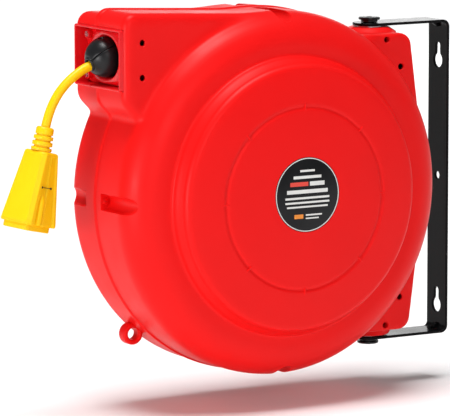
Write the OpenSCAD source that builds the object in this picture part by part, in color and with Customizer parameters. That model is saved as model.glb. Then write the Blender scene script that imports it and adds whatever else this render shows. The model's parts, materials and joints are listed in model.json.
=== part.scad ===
// Spring-driven extension cord reel in a swivelling wall bracket.
// Origin: centre of the wall plate's back face. +X points into the wall, +Z is up.
// The drum's axis lies along Y and its front faces -Y. Millimetres.

/* [Bracket] */
// Overall height of the wall plate
bracket_h = 342; // [338:1:350]
// Width of the bracket's strip
bracket_w = 36; // [30:1:44]
// Thickness of the bracket's strip
bracket_t = 3; // [2.5:0.5:3]
// Distance from the wall to the swivel axis
pivot_reach = 92; // [90:1:100]
// Outside radius of the two bends
bend_r = 8; // [6:1:12]
// Distance between the two keyholes
keyhole_spacing = 268; // [250:1:275]
// Drop of the keyhole pair's middle below the plate's middle
keyhole_drop = 8.4; // [0:0.1:12]
// Radius of a keyhole's round part
keyhole_r = 8; // [6:0.5:9]
// Width of a keyhole's slot
keyslot_w = 7.8; // [6:0.1:9]
// Rise of a keyhole's slot above its round part
keyslot_rise = 15.8; // [14:0.1:18]
// Diameter of the middle screw hole
centre_hole_d = 8.4; // [6:0.1:10]

/* [Case] */
// Distance from the swivel axis to the drum's axis
drum_offset = 149; // [149:1:155]
// Outside radius of the drum
drum_r = 192; // [191:0.5:194]
// Wall thickness of both shells
wall = 3; // [2.5:0.5:3.5]
// Depth of the front shell's straight side
front_side = 48; // [46:1:50]
// Radius of the front shell's soft rim
front_rim_r = 35; // [33:1:36]
// Radius of the raised front plateau
plateau_r = 141; // [139:1:142]
// Depth of the plateau's edge in front of the seam
plateau_edge = 103; // [102:0.5:105]
// Depth of the plateau's crown in front of the seam
crown = 111.8; // [111:0.1:113]
// Depth of the rear shell's straight side
rear_side = 37; // [36:1:38]
// Radius of the rear shell's rim
rear_rim_r = 15; // [14:1:16]
// Radius of the ridge ring's groove on the plateau
groove_r = 95.7; // [92:0.1:100]
// Height of the drum's axis above the plate's middle
reel_rise = 3; // [0:0.5:4]
// Half height of the swivel block on the right
ear_half_h = 159.5; // [159:0.5:160]
// Depth of the swivel block in front of and behind the seam
ear_depth = 48; // [46:1:49]
// Diameter of the round label
label_d = 78; // [70:1:84]

/* [Mouth] */
// Height of the cord's path above the drum's axis
cord_line = 149; // [149:0.5:150]
// Distance of the cord's path in front of the seam
mouth_w = 8; // [7:0.5:9]
// Outside length of the mouth frame along the drum's axis
frame_len = 94; // [92:1:96]
// Outside height of the mouth frame
frame_h = 63.4; // [62:0.2:66]
// Diameter of the ball stop
ball_d = 42; // [40:1:43]

/* [Cord] */
// Outside diameter of the mains cord
cord_d = 9.7; // [9.3:0.1:9.8]
// Turns of cord in one full layer
turns_per_layer = 7; // [7:1:7]
// Full layers under the last one
full_layers = 3; // [3:1:3]

/* [Spool] */
// Outside radius of the spool's flanges
flange_r = 168; // [160:1:170]
// Number of ratchet teeth
teeth = 12; // [12:12:12]
// Radius of the ratchet's tooth tips
tip_r = 122; // [121:0.5:122.5]
// Radius of the main shaft
shaft_r = 8; // [7:0.5:9]

/* [Hidden] */
$fn = 64;
eps = 0.01;
gap = 0.4;              // clearance between pieces of different bodies
fit = 0.05;             // radial clearance of a running fit

// Places along X, and the drum frame: u to the right, v up, w to the front.
drum_x = -pivot_reach - drum_offset;
half_h = bracket_h / 2;
arm_under = half_h - bracket_t;
block_left = -187.5;    // u of the mouth block's left face
block_top = drum_r + 5.5;
block_rear_top = drum_r + 0.5;
block_front = 58;
block_rear = 45;
frame_front = -192.1;   // u of the mouth frame's front edge
frame_deep = 18;
guide_front = -184;     // u of the guide's front face
guide_back = -174.5;
lug_front = -179.6;
ball_u = -182;          // u of the ball stop's centre
flare_r = 29.6;         // radius of the guide's mouth
rim_screw_r = 186;
pocket_r = 9;
pocket_seat = 15;
boss_end = arm_under - gap - 1.1;
rim_screw_angles = [90, 180, 270];
block_screws = [[-167, 167], [-167, 131]];
ear_screws = [[140.3, 153.5], [158.2, 124], [158.2, -124], [140.3, -153.5]];
screw_seat = 20;
block_seat = 26;
loop_at = [-133.3, -148.4]; // middle of the tie loop's hole
gland_at = [70, -55];

// Winding
wind_pitch = cord_d + 0.1;
wind_w = turns_per_layer * wind_pitch;
wind_mid = 12;          // w of the winding's middle
wind_outer = cord_line + cord_d / 2;
wind_inner = cord_line - full_layers * cord_d - cord_d / 2;
flange_t = 3;
front_flange_w = wind_mid + wind_w / 2 + 1;
rear_flange_w = wind_mid - wind_w / 2 - 1 - flange_t;
hub_r = wind_inner - 0.25;

// Ratchet and pawl, at the rear of the spool
ratchet_w = 7;
ratchet_back = rear_flange_w - ratchet_w;
root_r = tip_r - 8;
pawl_post = [0, -140];
pawl_nose = [33.15, 17.33];   // from the post to the nose, pawl lifted
pawl_t = 4;
tooth_face = -72.5;           // angle of one tooth's stop face
pawl_w = ratchet_back + 0.5;

// Slip rings and brushes
carrier_r = 28;
ring_r = 29.5;
ring_ws = [-31, -36.5, -42];
carrier_back = -44.3;

// Mainspring
can_r = 104;
can_back = front_flange_w + flange_t + 0.2;
can_front = 88;

// Free cord in the plane of the mouth: X, Z
free_route = [[-440, 144], [-448, 141], [-456, 136.5], [-464, 131], [-471, 125],
              [-477.5, 118], [-483, 110], [-487.5, 101.5], [-491, 92.5], [-493.5, 84]];
relief_len = 25;
ball_tilt = 20;         // slope of the cord as it leaves the ball stop
ball_roll = -35;        // roll of the ball stop's split about the cord
plug_tilt = 13;         // lean of the connector from the vertical
plug_turn = 20;         // turn of the connector about its own axis
plug_len = 82;

// ---------- shared shapes ----------

function arc(c, r, a0, a1, n) =
    [for (i = [0:n]) c + r * [cos(a0 + (a1 - a0) * i / n), sin(a0 + (a1 - a0) * i / n)]];

// Places children in the drum frame.
module in_drum() {
    translate([drum_x, 0, reel_rise])
        rotate([90, 0, 0])
            children();
}

// Undoes in_drum, for shapes that belong to the swivel axis.
module from_drum() {
    rotate([-90, 0, 0])
        translate([-drum_x, 0, -reel_rise])
            children();
}

// A cylinder along the drum's axis from depth w0 to depth w1.
module rod(u, v, w0, w1, r) {
    translate([u, v, w0])
        cylinder(r = r, h = w1 - w0);
}

module tube(u, v, w0, w1, r_out, r_in) {
    difference() {
        rod(u, v, w0, w1, r_out);
        rod(u, v, w0 - 1, w1 + 1, r_in);
    }
}

// Stands children on the swivel axis, mirrored to the lower end too.
module at_both_pivots() {
    for (side = [0, 1])
        mirror([0, 0, side])
            translate([-pivot_reach, 0, 0])
                children();
}

module hex(across, h) {
    cylinder(d = across / cos(30), h = h, $fn = 6);
}

// ---------- wall bracket ----------

module bracket_side() {
    difference() {
        union() {
            translate([-bend_r, -half_h + bend_r])
                square([bend_r, bracket_h - 2 * bend_r]);
            translate([-pivot_reach, -half_h])
                square([pivot_reach - bend_r, bracket_h]);
            for (s = [-1, 1])
                translate([-bend_r, s * (half_h - bend_r)])
                    circle(r = bend_r);
        }
        union() {
            translate([-bend_r - eps, -half_h + bend_r])
                square([bend_r - bracket_t + eps, bracket_h - 2 * bend_r]);
            translate([-pivot_reach - 1, -half_h + bracket_t])
                square([pivot_reach + 1 - bend_r, bracket_h - 2 * bracket_t]);
            for (s = [-1, 1])
                translate([-bend_r, s * (half_h - bend_r)])
                    circle(r = bend_r - bracket_t);
        }
    }
}

module wall_bracket() {
    color([0.05, 0.05, 0.05])
        difference() {
            union() {
                rotate([90, 0, 0])
                    translate([0, 0, -bracket_w / 2])
                        linear_extrude(bracket_w)
                            bracket_side();
                at_both_pivots()
                    translate([0, 0, arm_under])
                        cylinder(d = bracket_w, h = bracket_t);
            }
            at_both_pivots()
                translate([0, 0, arm_under - 1])
                    cylinder(r = 6 + fit, h = bracket_t + 2);
            translate([-bracket_t - 1, 0, 0])
                rotate([0, 90, 0])
                    cylinder(d = centre_hole_d, h = bracket_t + 2);
            for (s = [-1, 1])
                translate([-bracket_t - 1, 0, s * keyhole_spacing / 2 - keyhole_drop]) {
                    rotate([0, 90, 0])
                        cylinder(r = keyhole_r, h = bracket_t + 2);
                    translate([0, 0, keyslot_rise])
                        rotate([0, 90, 0])
                            cylinder(d = keyslot_w, h = bracket_t + 2);
                    translate([0, -keyslot_w / 2, 0])
                        cube([bracket_t + 2, keyslot_w, keyslot_rise]);
                }
        }
}

module pivot_bolts() {
    color([0.08, 0.08, 0.08])
        at_both_pivots()
            difference() {
                union() {
                    translate([0, 0, half_h + 3])
                        cylinder(d = 23, h = 2.8);
                    translate([0, 0, 132])
                        cylinder(r = 4, h = half_h + 3 - 132);
                }
                translate([0, 0, half_h + 4])
                    hex(6, 3);
            }
}

module pivot_bushings() {
    color([0.2, 0.2, 0.2])
        at_both_pivots()
            difference() {
                union() {
                    translate([0, 0, arm_under - gap])
                        cylinder(r = 6, h = half_h + gap - arm_under + gap);
                    translate([0, 0, half_h + gap])
                        cylinder(d = 18, h = 3 - gap);
                }
                translate([0, 0, arm_under - 2])
                    cylinder(r = 4 + fit, h = 12);
            }
}

module pivot_washers() {
    color([0.75, 0.75, 0.78])
        at_both_pivots()
            translate([0, 0, arm_under - gap - 1.1])
                difference() {
                    cylinder(d = 30, h = 1.1);
                    translate([0, 0, -1])
                        cylinder(r = 4 + fit, h = 4);
                }
}

module pivot_nuts() {
    color([0.7, 0.7, 0.72])
        at_both_pivots()
            translate([0, 0, 137])
                difference() {
                    hex(13, 6.5);
                    translate([0, 0, -1])
                        cylinder(r = 4 + fit, h = 9);
                }
}

// ---------- case shells ----------

function front_profile(i) = concat(
    [[0, 0], [drum_r - i, 0]],
    arc([drum_r - front_rim_r, front_side], front_rim_r - i, 0, 90, 12),
    [[plateau_r - i, front_side + front_rim_r - i]],
    arc([plateau_r - 8, plateau_edge - 8], 8 - i, 0, 90, 6),
    [[groove_r, crown - 4.4 - i], [60, crown - 1.2 - i], [0, crown - i]]);

function rear_profile(i) = concat(
    [[0, 0], [drum_r - i, 0]],
    arc([drum_r - rear_rim_r, -rear_side], rear_rim_r - i, 0, -90, 8),
    [[120 - i, -rear_side - rear_rim_r + i]],
    arc([114, -rear_side - rear_rim_r - 2], 6 - i, 0, -90, 4),
    [[0, -rear_side - rear_rim_r - 8 + i]]);

// Outline of the mouth block with its top at v, grown inwards by i.
function mouth_outline(top, i) = concat(
    [[0, drum_r - 3 - i]],
    arc([block_left + 14, top - 14], 14 - i, 90, 180, 6),
    arc([block_left + 20, 111], 20 - i, 180, 225, 4),
    [[-168 + i, 82 + i], [-100, 60], [0, 100]]);

// Outline of the upper half of the swivel block, grown inwards by i.
function ear_outline(i) = concat(
    [[60, ear_half_h - i]],
    arc([158.3, ear_half_h - 14], 14 - i, 90, 0, 6),
    [[183.7 - i, 60], [60, 60]]);

module mouth_block(top, depth, i) {
    linear_extrude(depth - i)
        polygon(mouth_outline(top, i));
}

module ear_block(i) {
    for (side = [0, 1])
        mirror([0, side, 0])
            linear_extrude(ear_depth - i)
                polygon(ear_outline(i));
}

module front_body(i) {
    rotate_extrude($fn = 128)
        polygon(front_profile(i));
    mouth_block(block_top, block_front, i);
    ear_block(i);
}

module rear_body(i) {
    rotate_extrude($fn = 128)
        polygon(rear_profile(i));
    mirror([0, 0, 1]) {
        mouth_block(block_rear_top, block_rear, i);
        ear_block(i);
    }
}

// Half of both bosses that carry the swivel bolts; side is 1 in front, -1 behind.
module pivot_boss(side) {
    for (end = [-1, 1])
        translate([-pivot_reach, 0, 0])
            intersection() {
                scale([1, 1, end])
                    difference() {
                        union() {
                            translate([0, 0, 130])
                                cylinder(r = 14, h = boss_end - 130);
                            translate([0, 0, ear_half_h + end * reel_rise - 1])
                                cylinder(r1 = 28.3, r2 = 21,
                                     h = boss_end + 1 - ear_half_h - end * reel_rise);
                        }
                        translate([0, 0, 129])
                            cylinder(r = 4.1, h = 45);
                        translate([0, 0, 136.9])
                            hex(13.2, 6.7);
                    }
                translate([-40, side > 0 ? -60 : 0, -200])
                    cube([80, 60, 400]);
            }
}

module rim_places() {
    for (a = rim_screw_angles)
        translate([rim_screw_r * cos(a), rim_screw_r * sin(a), 0])
            children();
}

// Screw posts inside a shell; the mouth's pair starts at near, clear of the ball stop.
module shell_posts(near, mouth_depth) {
    for (p = block_screws)
        rod(p[0], p[1], near, mouth_depth - 1, 5.5);
    for (p = ear_screws)
        rod(p[0], p[1], 0, ear_depth - 1, 5.5);
}

module mouth_opening() {
    translate([block_left - 2, cord_line - frame_h / 2 - 0.2, mouth_w - frame_len / 2 - 0.2])
        cube([30, frame_h + 0.4, frame_len + 0.4]);
}

// Screw holes through the front shell: wide for the head, narrow for the shank.
module screw_bores(places, seat) {
    for (p = places) {
        rod(p[0], p[1], seat, 70, 3.2);
        rod(p[0], p[1], -1, seat + 1, 2.15);
    }
}

module pivot_bores() {
    from_drum()
        at_both_pivots()
            translate([0, 0, 129])
                cylinder(r = 4.1, h = 45);
}

module groove_ring() {
    rotate_extrude($fn = 128)
        translate([groove_r, crown - 3.6])
            circle(r = 2, $fn = 16);
    for (a = [0:45:315])
        rotate(a)
            translate([groove_r - 4, -0.6, crown - 5])
                cube([8, 1.2, 4]);
}

module front_shell() {
    color([0.9, 0.07, 0.07])
        in_drum()
            difference() {
                union() {
                    difference() {
                        front_body(0);
                        translate([0, 0, -eps])
                            front_body(wall);
                    }
                    intersection() {
                        rotate_extrude($fn = 128)
                            polygon(front_profile(0));
                        rim_places()
                            cylinder(r = pocket_r + wall, h = 90);
                    }
                    shell_posts(block_seat - 3.5, block_front);
                    rod(0, 0, 96, 110, 14);
                    from_drum()
                        pivot_boss(1);
                }
                rim_places()
                    translate([0, 0, pocket_seat])
                        cylinder(r = pocket_r, h = 90);
                rim_places()
                    translate([0, 0, -1])
                        cylinder(r = 2.6, h = 20);
                screw_bores(block_screws, block_seat);
                screw_bores(ear_screws, screw_seat);
                pivot_bores();
                rod(0, 0, 90, 104, shaft_r + fit);
                mouth_opening();
                groove_ring();
                translate([0, 4.9, crown - 1.5])
                    cylinder(d = label_d + 1, h = 5);
            }
}

module tie_loop(r) {
    rod(loop_at[0], loop_at[1], -30, -25, r);
}

module rear_shell() {
    color([0.87, 0.06, 0.06])
        in_drum()
            difference() {
                union() {
                    difference() {
                        rear_body(0);
                        translate([0, 0, eps])
                            rear_body(wall);
                    }
                    intersection() {
                        rotate_extrude($fn = 128)
                            polygon(rear_profile(0));
                        rim_places()
                            translate([0, 0, -60])
                                cylinder(r = pocket_r + wall, h = 60);
                    }
                    mirror([0, 0, 1])
                        shell_posts(4.5, block_rear);
                    rod(0, 0, -58, -46.5, 14);
                    difference() {
                        tie_loop(12);
                        rod(0, 0, -40, -20, drum_r - 1);
                    }
                    from_drum()
                        pivot_boss(-1);
                    rod(pawl_post[0], pawl_post[1], -50.5, -42, 8);
                }
                rim_places()
                    translate([0, 0, -61])
                        cylinder(r = pocket_r, h = 61 - pocket_seat);
                rim_places()
                    translate([0, 0, -pocket_seat - 1])
                        cylinder(r = 2.1, h = 30);
                for (p = concat(block_screws, ear_screws))
                    rod(p[0], p[1], -22, 1, 2.1);
                pivot_bores();
                rod(loop_at[0], loop_at[1], -31, -24, 6.3);
                rod(0, 0, -54, -40, shaft_r + fit);
                rod(0, 0, -70, -50, 4.3);
                rod(pawl_post[0], pawl_post[1], -47, -35, 4 + fit);
                rod(gland_at[0], gland_at[1], -70, -40, 9.1);
                mouth_opening();
            }
}

module label_disc() {
    color([0.06, 0.06, 0.06])
        in_drum()
            translate([0, 4.9, crown - 1.5])
                cylinder(d = label_d, h = 0.8);
}

// ---------- mouth ----------

module frame_tube(inset) {
    translate([frame_front + (inset > 0 ? -1 : 0), cord_line - frame_h / 2 + inset,
               mouth_w - frame_len / 2 + inset])
        cube([frame_deep + (inset > 0 ? 2 : 0), frame_h - 2 * inset, frame_len - 2 * inset]);
}

module mouth_corners() {
    for (sv = [-1, 1])
        for (sw = [-1, 1])
            translate([0, cord_line + sv * 21, mouth_w + sw * 36])
                rotate([0, 90, 0])
                    children();
}

module mouth_frame() {
    color([0.9, 0.05, 0.08])
        in_drum()
            difference() {
                union() {
                    difference() {
                        frame_tube(0);
                        frame_tube(2.4);
                    }
                    intersection() {
                        mouth_corners()
                            translate([0, 0, lug_front])
                                cylinder(r = 7, h = frame_front + frame_deep - lug_front);
                        frame_tube(0);
                    }
                }
                mouth_corners()
                    translate([0, 0, lug_front - 1])
                        cylinder(r = 1.55, h = 12);
            }
}

module mouth_screws() {
    color([0.75, 0.75, 0.78])
        in_drum()
            mouth_corners() {
                translate([0, 0, guide_front + 0.1])
                    cylinder(r = 3, h = 1.9);
                translate([0, 0, guide_front + 1.9])
                    cylinder(r = 1.5, h = 7);
            }
}

// Flared guide that the cord runs through and the ball stop seats on.
module mouth_funnel() {
    color([0.85, 0.05, 0.06])
        in_drum()
            difference() {
                translate([guide_front, cord_line - frame_h / 2 + 2.6, mouth_w - frame_len / 2 + 2.6])
                    cube([guide_back - guide_front, frame_h - 5.2, frame_len - 5.2]);
                translate([0, cord_line, mouth_w])
                    rotate([0, 90, 0])
                        rotate_extrude()
                            polygon(concat(
                                [[0, guide_front - 1], [flare_r, guide_front - 1]],
                                [for (a = [90:15:180])
                                    [flare_r, guide_front + 9] + [9 * cos(a), -9 * sin(a)]],
                                [[flare_r - 9, guide_back + 1], [0, guide_back + 1]]));
                mouth_corners() {
                    translate([0, 0, guide_front - 1])
                        cylinder(r = 1.6, h = 20);
                    translate([0, 0, guide_front - 1])
                        cylinder(r = 3.3, h = 3);
                    translate([0, 0, lug_front - 0.2])
                        cylinder(r = 7.2, h = 20);
                }
            }
}

// ---------- fasteners of the case ----------

module rim_screws() {
    color([0.7, 0.7, 0.72])
        in_drum()
            rim_places() {
                translate([0, 0, pocket_seat])
                    cylinder(r = 4.5, h = 3);
                translate([0, 0, -13])
                    cylinder(r = 2.05, h = 13 + pocket_seat + eps);
            }
}

module screw_set(places, seat) {
    for (p = places) {
        rod(p[0], p[1], seat, seat + 3, 3);
        rod(p[0], p[1], -20, seat + eps, 2.05);
    }
}

module shell_screws() {
    color([0.7, 0.7, 0.72])
        in_drum() {
            screw_set(block_screws, block_seat);
            screw_set(ear_screws, screw_seat);
        }
}

// ---------- shaft ----------

module main_shaft() {
    color([0.75, 0.75, 0.77])
        in_drum()
            difference() {
                rod(0, 0, -53.5, 103, shaft_r);
                rod(0, 0, -60, -38, 4.05);
            }
}

module shaft_screw() {
    color([0.6, 0.6, 0.62])
        in_drum() {
            translate([0, 0, -65.5])
                hex(13, 5.5);
            rod(0, 0, -60 - eps, -40, 4);
        }
}

module shaft_clips() {
    color([0.5, 0.5, 0.52])
        in_drum()
            for (w = [-46, 90.4])
                tube(0, 0, w, w + 1.2, shaft_r + 4, shaft_r + fit);
}

module spring_arbor() {
    color([0.6, 0.6, 0.63])
        in_drum()
            difference() {
                tube(0, 0, can_back + 4, can_front - 4, 12, shaft_r + fit);
                translate([9, -1, can_back + 3])
                    cube([5, 2, 40]);
            }
}

// ---------- spool ----------

module spool_hub() {
    color([0.15, 0.15, 0.16])
        in_drum()
            difference() {
                union() {
                    tube(0, 0, rear_flange_w + flange_t, front_flange_w, hub_r, hub_r - 3);
                    rod(0, 0, wind_mid - 1.5, wind_mid + 1.5, hub_r - 1);
                    rod(0, 0, rear_flange_w - 0.5, can_back - 0.3, 14);
                    for (a = [30:60:330])
                        rotate(a)
                            rod(hub_r - 7, 0, rear_flange_w + flange_t, front_flange_w, 5);
                }
                rod(0, 0, -40, 60, shaft_r + 0.6);
                rod(0, 0, rear_flange_w - 1, rear_flange_w + 19.5, 11);
                rod(0, 0, can_back - 20.3, can_back + 1, 11);
                for (a = [0:60:300])
                    rotate(a)
                        rod(62, 0, 0, 40, 22);
                for (a = [30:60:330])
                    rotate(a)
                        rod(hub_r - 7, 0, -40, 60, 1.8);
            }
}

module spool_flange(w) {
    difference() {
        tube(0, 0, w, w + flange_t, flange_r, 98);
        for (a = [0:45:315])
            rotate(a)
                rod(146, 0, w - 1, w + flange_t + 1, 13);
        for (a = [30:60:330])
            rotate(a)
                rod(hub_r - 7, 0, w - 1, w + flange_t + 1, 2.1);
    }
}

module front_flange() {
    color([0.2, 0.2, 0.21])
        in_drum()
            spool_flange(front_flange_w);
}

module rear_flange() {
    color([0.2, 0.2, 0.21])
        in_drum()
            spool_flange(rear_flange_w);
}

module flange_screws() {
    color([0.75, 0.75, 0.75])
        in_drum()
            for (a = [30:60:330])
                rotate(a) {
                    rod(hub_r - 7, 0, front_flange_w - 14, front_flange_w + flange_t - 0.5, 1.75);
                    rod(hub_r - 7, 0, rear_flange_w + 0.5, rear_flange_w + 17, 1.75);
                }
}

module spool_bushes() {
    color([0.75, 0.6, 0.3])
        in_drum() {
            tube(0, 0, rear_flange_w - 0.4, rear_flange_w + 19, 10.95, shaft_r + fit);
            tube(0, 0, can_back - 20, can_back - 0.4, 10.95, shaft_r + fit);
        }
}

function polar(r, a) = [r * cos(a), r * sin(a)];

module ratchet_ring() {
    color([0.5, 0.5, 0.52])
        in_drum()
            difference() {
                tube(0, 0, ratchet_back, rear_flange_w, tip_r, 100);
                for (k = [0:teeth - 1])
                    rotate(tooth_face + k * 360 / teeth)
                        translate([0, 0, ratchet_back - 1])
                            linear_extrude(ratchet_w + 0.99)
                                polygon([[root_r, 0], [tip_r + 4, 0], polar(tip_r + 4, -13),
                                         polar(tip_r + 4, -26.5), polar(root_r, -22),
                                         polar(root_r, -11)]);
            }
}

module spring_can() {
    color([0.55, 0.55, 0.57])
        in_drum()
            difference() {
                rod(0, 0, can_back, can_front - 2, can_r);
                rod(0, 0, can_back + 2, can_front, can_r - 2);
                rod(0, 0, can_back - 1, can_back + 3, shaft_r + 1);
            }
}

module can_cover() {
    color([0.6, 0.6, 0.62])
        in_drum()
            difference() {
                rod(0, 0, can_front - 2, can_front, can_r + 4);
                rod(0, 0, can_front - 3, can_front + 1, shaft_r + 1);
                for (a = [0:60:300])
                    rotate(a)
                        rod(can_r - 7, 0, can_front - 3, can_front + 1, 1.6);
            }
}

module can_screws() {
    color([0.75, 0.75, 0.77])
        in_drum()
            for (a = [0:60:300])
                rotate(a) {
                    rod(can_r - 7, 0, can_front, can_front + 1.6, 3.2);
                    rod(can_r - 7, 0, can_front - 3, can_front + eps, 1.5);
                }
}

module mainspring() {
    color([0.35, 0.37, 0.42])
        in_drum()
            tube(0, 0, can_back + 4, can_front - 6, can_r - 12, 13);
}

module cord_winding() {
    color([1, 0.86, 0])
        in_drum()
            tube(0, 0, wind_mid - wind_w / 2, wind_mid + wind_w / 2, wind_outer, wind_inner);
}

module cord_anchor() {
    color([0.1, 0.1, 0.1])
        in_drum()
            rotate(15)
                translate([hub_r - 17, -9, wind_mid - 24])
                    difference() {
                        cube([12, 18, 16]);
                        translate([6, -1, 8])
                            rotate([-90, 0, 0])
                                cylinder(d = cord_d + 0.2, h = 20);
                    }
}

module slip_carrier() {
    color([0.9, 0.88, 0.8])
        in_drum()
            tube(0, 0, carrier_back, rear_flange_w - 0.6, carrier_r, shaft_r + 0.6);
}

module slip_rings() {
    color([0.8, 0.5, 0.25])
        in_drum()
            for (w = ring_ws)
                tube(0, 0, w - 1.5, w + 1.5, ring_r, carrier_r + 0.02);
}

// ---------- brushes ----------

module brush_holder() {
    color([0.12, 0.12, 0.13])
        in_drum()
            difference() {
                translate([-14, 34, -56.9])
                    cube([28, 27, 28.4]);
                for (w = ring_ws)
                    translate([-2.6, 33, w - 1.6])
                        cube([5.2, 24, 3.2]);
            }
}

module brushes() {
    color([0.15, 0.15, 0.17])
        in_drum()
            for (w = ring_ws)
                translate([-2.5, ring_r + gap, w - 1.5])
                    cube([5, 12, 3]);
}

module brush_springs() {
    color([0.7, 0.7, 0.72])
        in_drum()
            for (w = ring_ws)
                translate([0, ring_r + gap + 12.2, w])
                    rotate([-90, 0, 0])
                        cylinder(r = 1.4, h = 14);
}

// ---------- latch ----------

module pawl() {
    color([0.7, 0.7, 0.72])
        in_drum()
            translate([pawl_post[0], pawl_post[1], pawl_w])
                difference() {
                    union() {
                        cylinder(r = 8, h = pawl_t);
                        linear_extrude(pawl_t)
                            hull() {
                                circle(r = 6.5);
                                translate(pawl_nose)
                                    circle(r = 3);
                            }
                    }
                    translate([0, 0, -1])
                        cylinder(r = 4 + fit, h = pawl_t + 2);
                }
}

module pawl_pin() {
    color([0.8, 0.8, 0.82])
        in_drum() {
            rod(pawl_post[0], pawl_post[1], -46.5, pawl_w + pawl_t + gap, 4);
            rod(pawl_post[0], pawl_post[1], pawl_w + pawl_t + gap, pawl_w + pawl_t + gap + 1, 6);
        }
}

module pawl_spring() {
    color([0.8, 0.8, 0.82])
        in_drum()
            tube(pawl_post[0], pawl_post[1], -41.6, pawl_w - gap, 7, 5);
}

// ---------- power inlet ----------

module inlet_gland() {
    color([0.1, 0.1, 0.1])
        in_drum()
            difference() {
                union() {
                    rod(gland_at[0], gland_at[1], -61, -50, 9);
                    rod(gland_at[0], gland_at[1], -65, -60, 13);
                    rod(gland_at[0], gland_at[1], -74, -64, 8);
                }
                rod(gland_at[0], gland_at[1], -75, -40, cord_d / 2);
            }
}

module gland_nut() {
    color([0.1, 0.1, 0.1])
        in_drum()
            translate([gland_at[0], gland_at[1], -56.98])
                difference() {
                    hex(24, 5);
                    translate([0, 0, -1])
                        cylinder(r = 9.05, h = 8);
                }
}

// ---------- cord end ----------

module lead_in_cord() {
    color([1, 0.86, 0])
        in_drum()
            translate([ball_u + 18, cord_line, mouth_w])
                rotate([0, 90, 0])
                    cylinder(d = cord_d, h = -ball_u - 18 - 56, $fn = 12);
}

// The ball stop's own frame: X along the cord inside it, Y across its two halves.
module in_ball() {
    in_drum()
        translate([ball_u, cord_line, mouth_w])
            rotate([0, 0, ball_tilt])
                rotate([ball_roll, 0, 0])
                    children();
}

module ball_screw_places() {
    for (s = [-1, 1])
        translate([2, 0, s * 12.5])
            rotate([-90, 0, 0])
                children();
}

// One half of the ball stop; up is 1 for the upper half and -1 for the lower.
module ball_half(up) {
    in_ball()
        difference() {
            sphere(d = ball_d, $fn = 48);
            translate([-40, up > 0 ? -39.9 : -0.1, -40])
                cube([80, 40, 80]);
            rotate([0, -90, 0])
                cylinder(d = cord_d + 0.1, h = 40);
            rotate([-ball_roll, 0, 0])
                rotate([0, 0, -ball_tilt])
                    rotate([0, 90, 0])
                        cylinder(d = cord_d + 1, h = 40);
            sphere(d = cord_d + 4);
            translate([-ball_d / 2 - 14, -20, -20])
                cube([16, 40, 40]);
            ball_screw_places()
                translate([0, 0, -9])
                    cylinder(r = 1.65, h = 39);
            if (up > 0)
                ball_screw_places()
                    translate([0, 0, 7])
                        cylinder(r = 3.2, h = 23);
        }
}

module ball_upper() {
    color([0.06, 0.06, 0.06])
        ball_half(1);
}

module ball_lower() {
    color([0.06, 0.06, 0.06])
        ball_half(-1);
}

module ball_screws() {
    color([0.8, 0.8, 0.82])
        in_ball()
            ball_screw_places() {
                translate([0, 0, 7])
                    cylinder(r = 3, h = 2.2);
                translate([0, 0, -6])
                    cylinder(r = 1.6, h = 13 + eps);
            }
}

// A tube of n sides swept along points in the X-Z plane at depth y.
module swept_tube(points, y, r, n) {
    count = len(points);
    dirs = [for (i = [0:count - 1])
        let (d = points[min(i + 1, count - 1)] - points[max(i - 1, 0)]) d / norm(d)];
    rings = [for (i = [0:count - 1])
        for (k = [0:n - 1])
            let (a = 360 * k / n)
            [points[i][0] - dirs[i][1] * r * cos(a), y + r * sin(a),
             points[i][1] + dirs[i][0] * r * cos(a)]];
    sides = [for (i = [0:count - 2])
        for (k = [0:n - 1])
            [i * n + k, i * n + (k + 1) % n, (i + 1) * n + (k + 1) % n, (i + 1) * n + k]];
    start = [[for (k = [0:n - 1]) n - 1 - k]];
    end = [[for (k = [0:n - 1]) (count - 1) * n + k]];
    polyhedron(points = rings, faces = concat(start, sides, end));
}

module free_cord() {
    color([1, 0.86, 0])
        swept_tube(free_route, -mouth_w, cord_d / 2, 12);
}

// Places children at the end of the free cord, +Z pointing back along the cord.
module at_cord_end() {
    tip = free_route[len(free_route) - 1];
    translate([tip[0], -mouth_w, tip[1]])
        rotate([0, plug_tilt, 0])
            children();
}

module strain_relief() {
    color([0.98, 0.84, 0])
        at_cord_end()
            translate([0, 0, -relief_len])
                difference() {
                    union() {
                        cylinder(r1 = 9.5, r2 = 7, h = relief_len - 0.1);
                        for (k = [0:3])
                            translate([0, 0, 1 + k * 6.2])
                                cylinder(r = 11.4 - k * 0.5, h = 4);
                    }
                    translate([0, 0, -1])
                        cylinder(r = 4, h = 6);
                }
}

// A thin slice of the connector block at height z.
module plug_slice(z, wide, thick) {
    translate([0, 0, z])
        linear_extrude(1)
            hull()
                for (sx = [-1, 1])
                    for (sy = [-1, 1])
                        translate([sx * (thick / 2 - 4), sy * (wide / 2 - 4)])
                            circle(r = 4, $fn = 16);
}

module at_plug() {
    at_cord_end()
        rotate([0, 0, plug_turn])
            translate([0, 0, -relief_len - 0.2])
                children();
}

module connector_body() {
    color([1, 0.85, 0])
        at_plug()
            difference() {
                hull() {
                    plug_slice(-1, 26, 19);
                    plug_slice(-plug_len + 9, 38, 42);
                    plug_slice(-plug_len + 5, 38, 42);
                }
                for (y = [-6.5, 6.5])
                    translate([26, y, -plug_len + 22])
                        rotate([0, 6, 0])
                            cube([22, 2, 8], center = true);
            }
}

module connector_cap() {
    color([0.95, 0.8, 0])
        at_plug()
            difference() {
                hull() {
                    plug_slice(-plug_len, 34, 38);
                    plug_slice(-plug_len + 4, 34, 38);
                }
                for (y = [-6.5, 6.5])
                    translate([-2, y - 1, -plug_len - 1])
                        cube([8, 2, 7]);
                translate([-6, 0, -plug_len - 1])
                    cylinder(r = 2.4, h = 7);
            }
}

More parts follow.
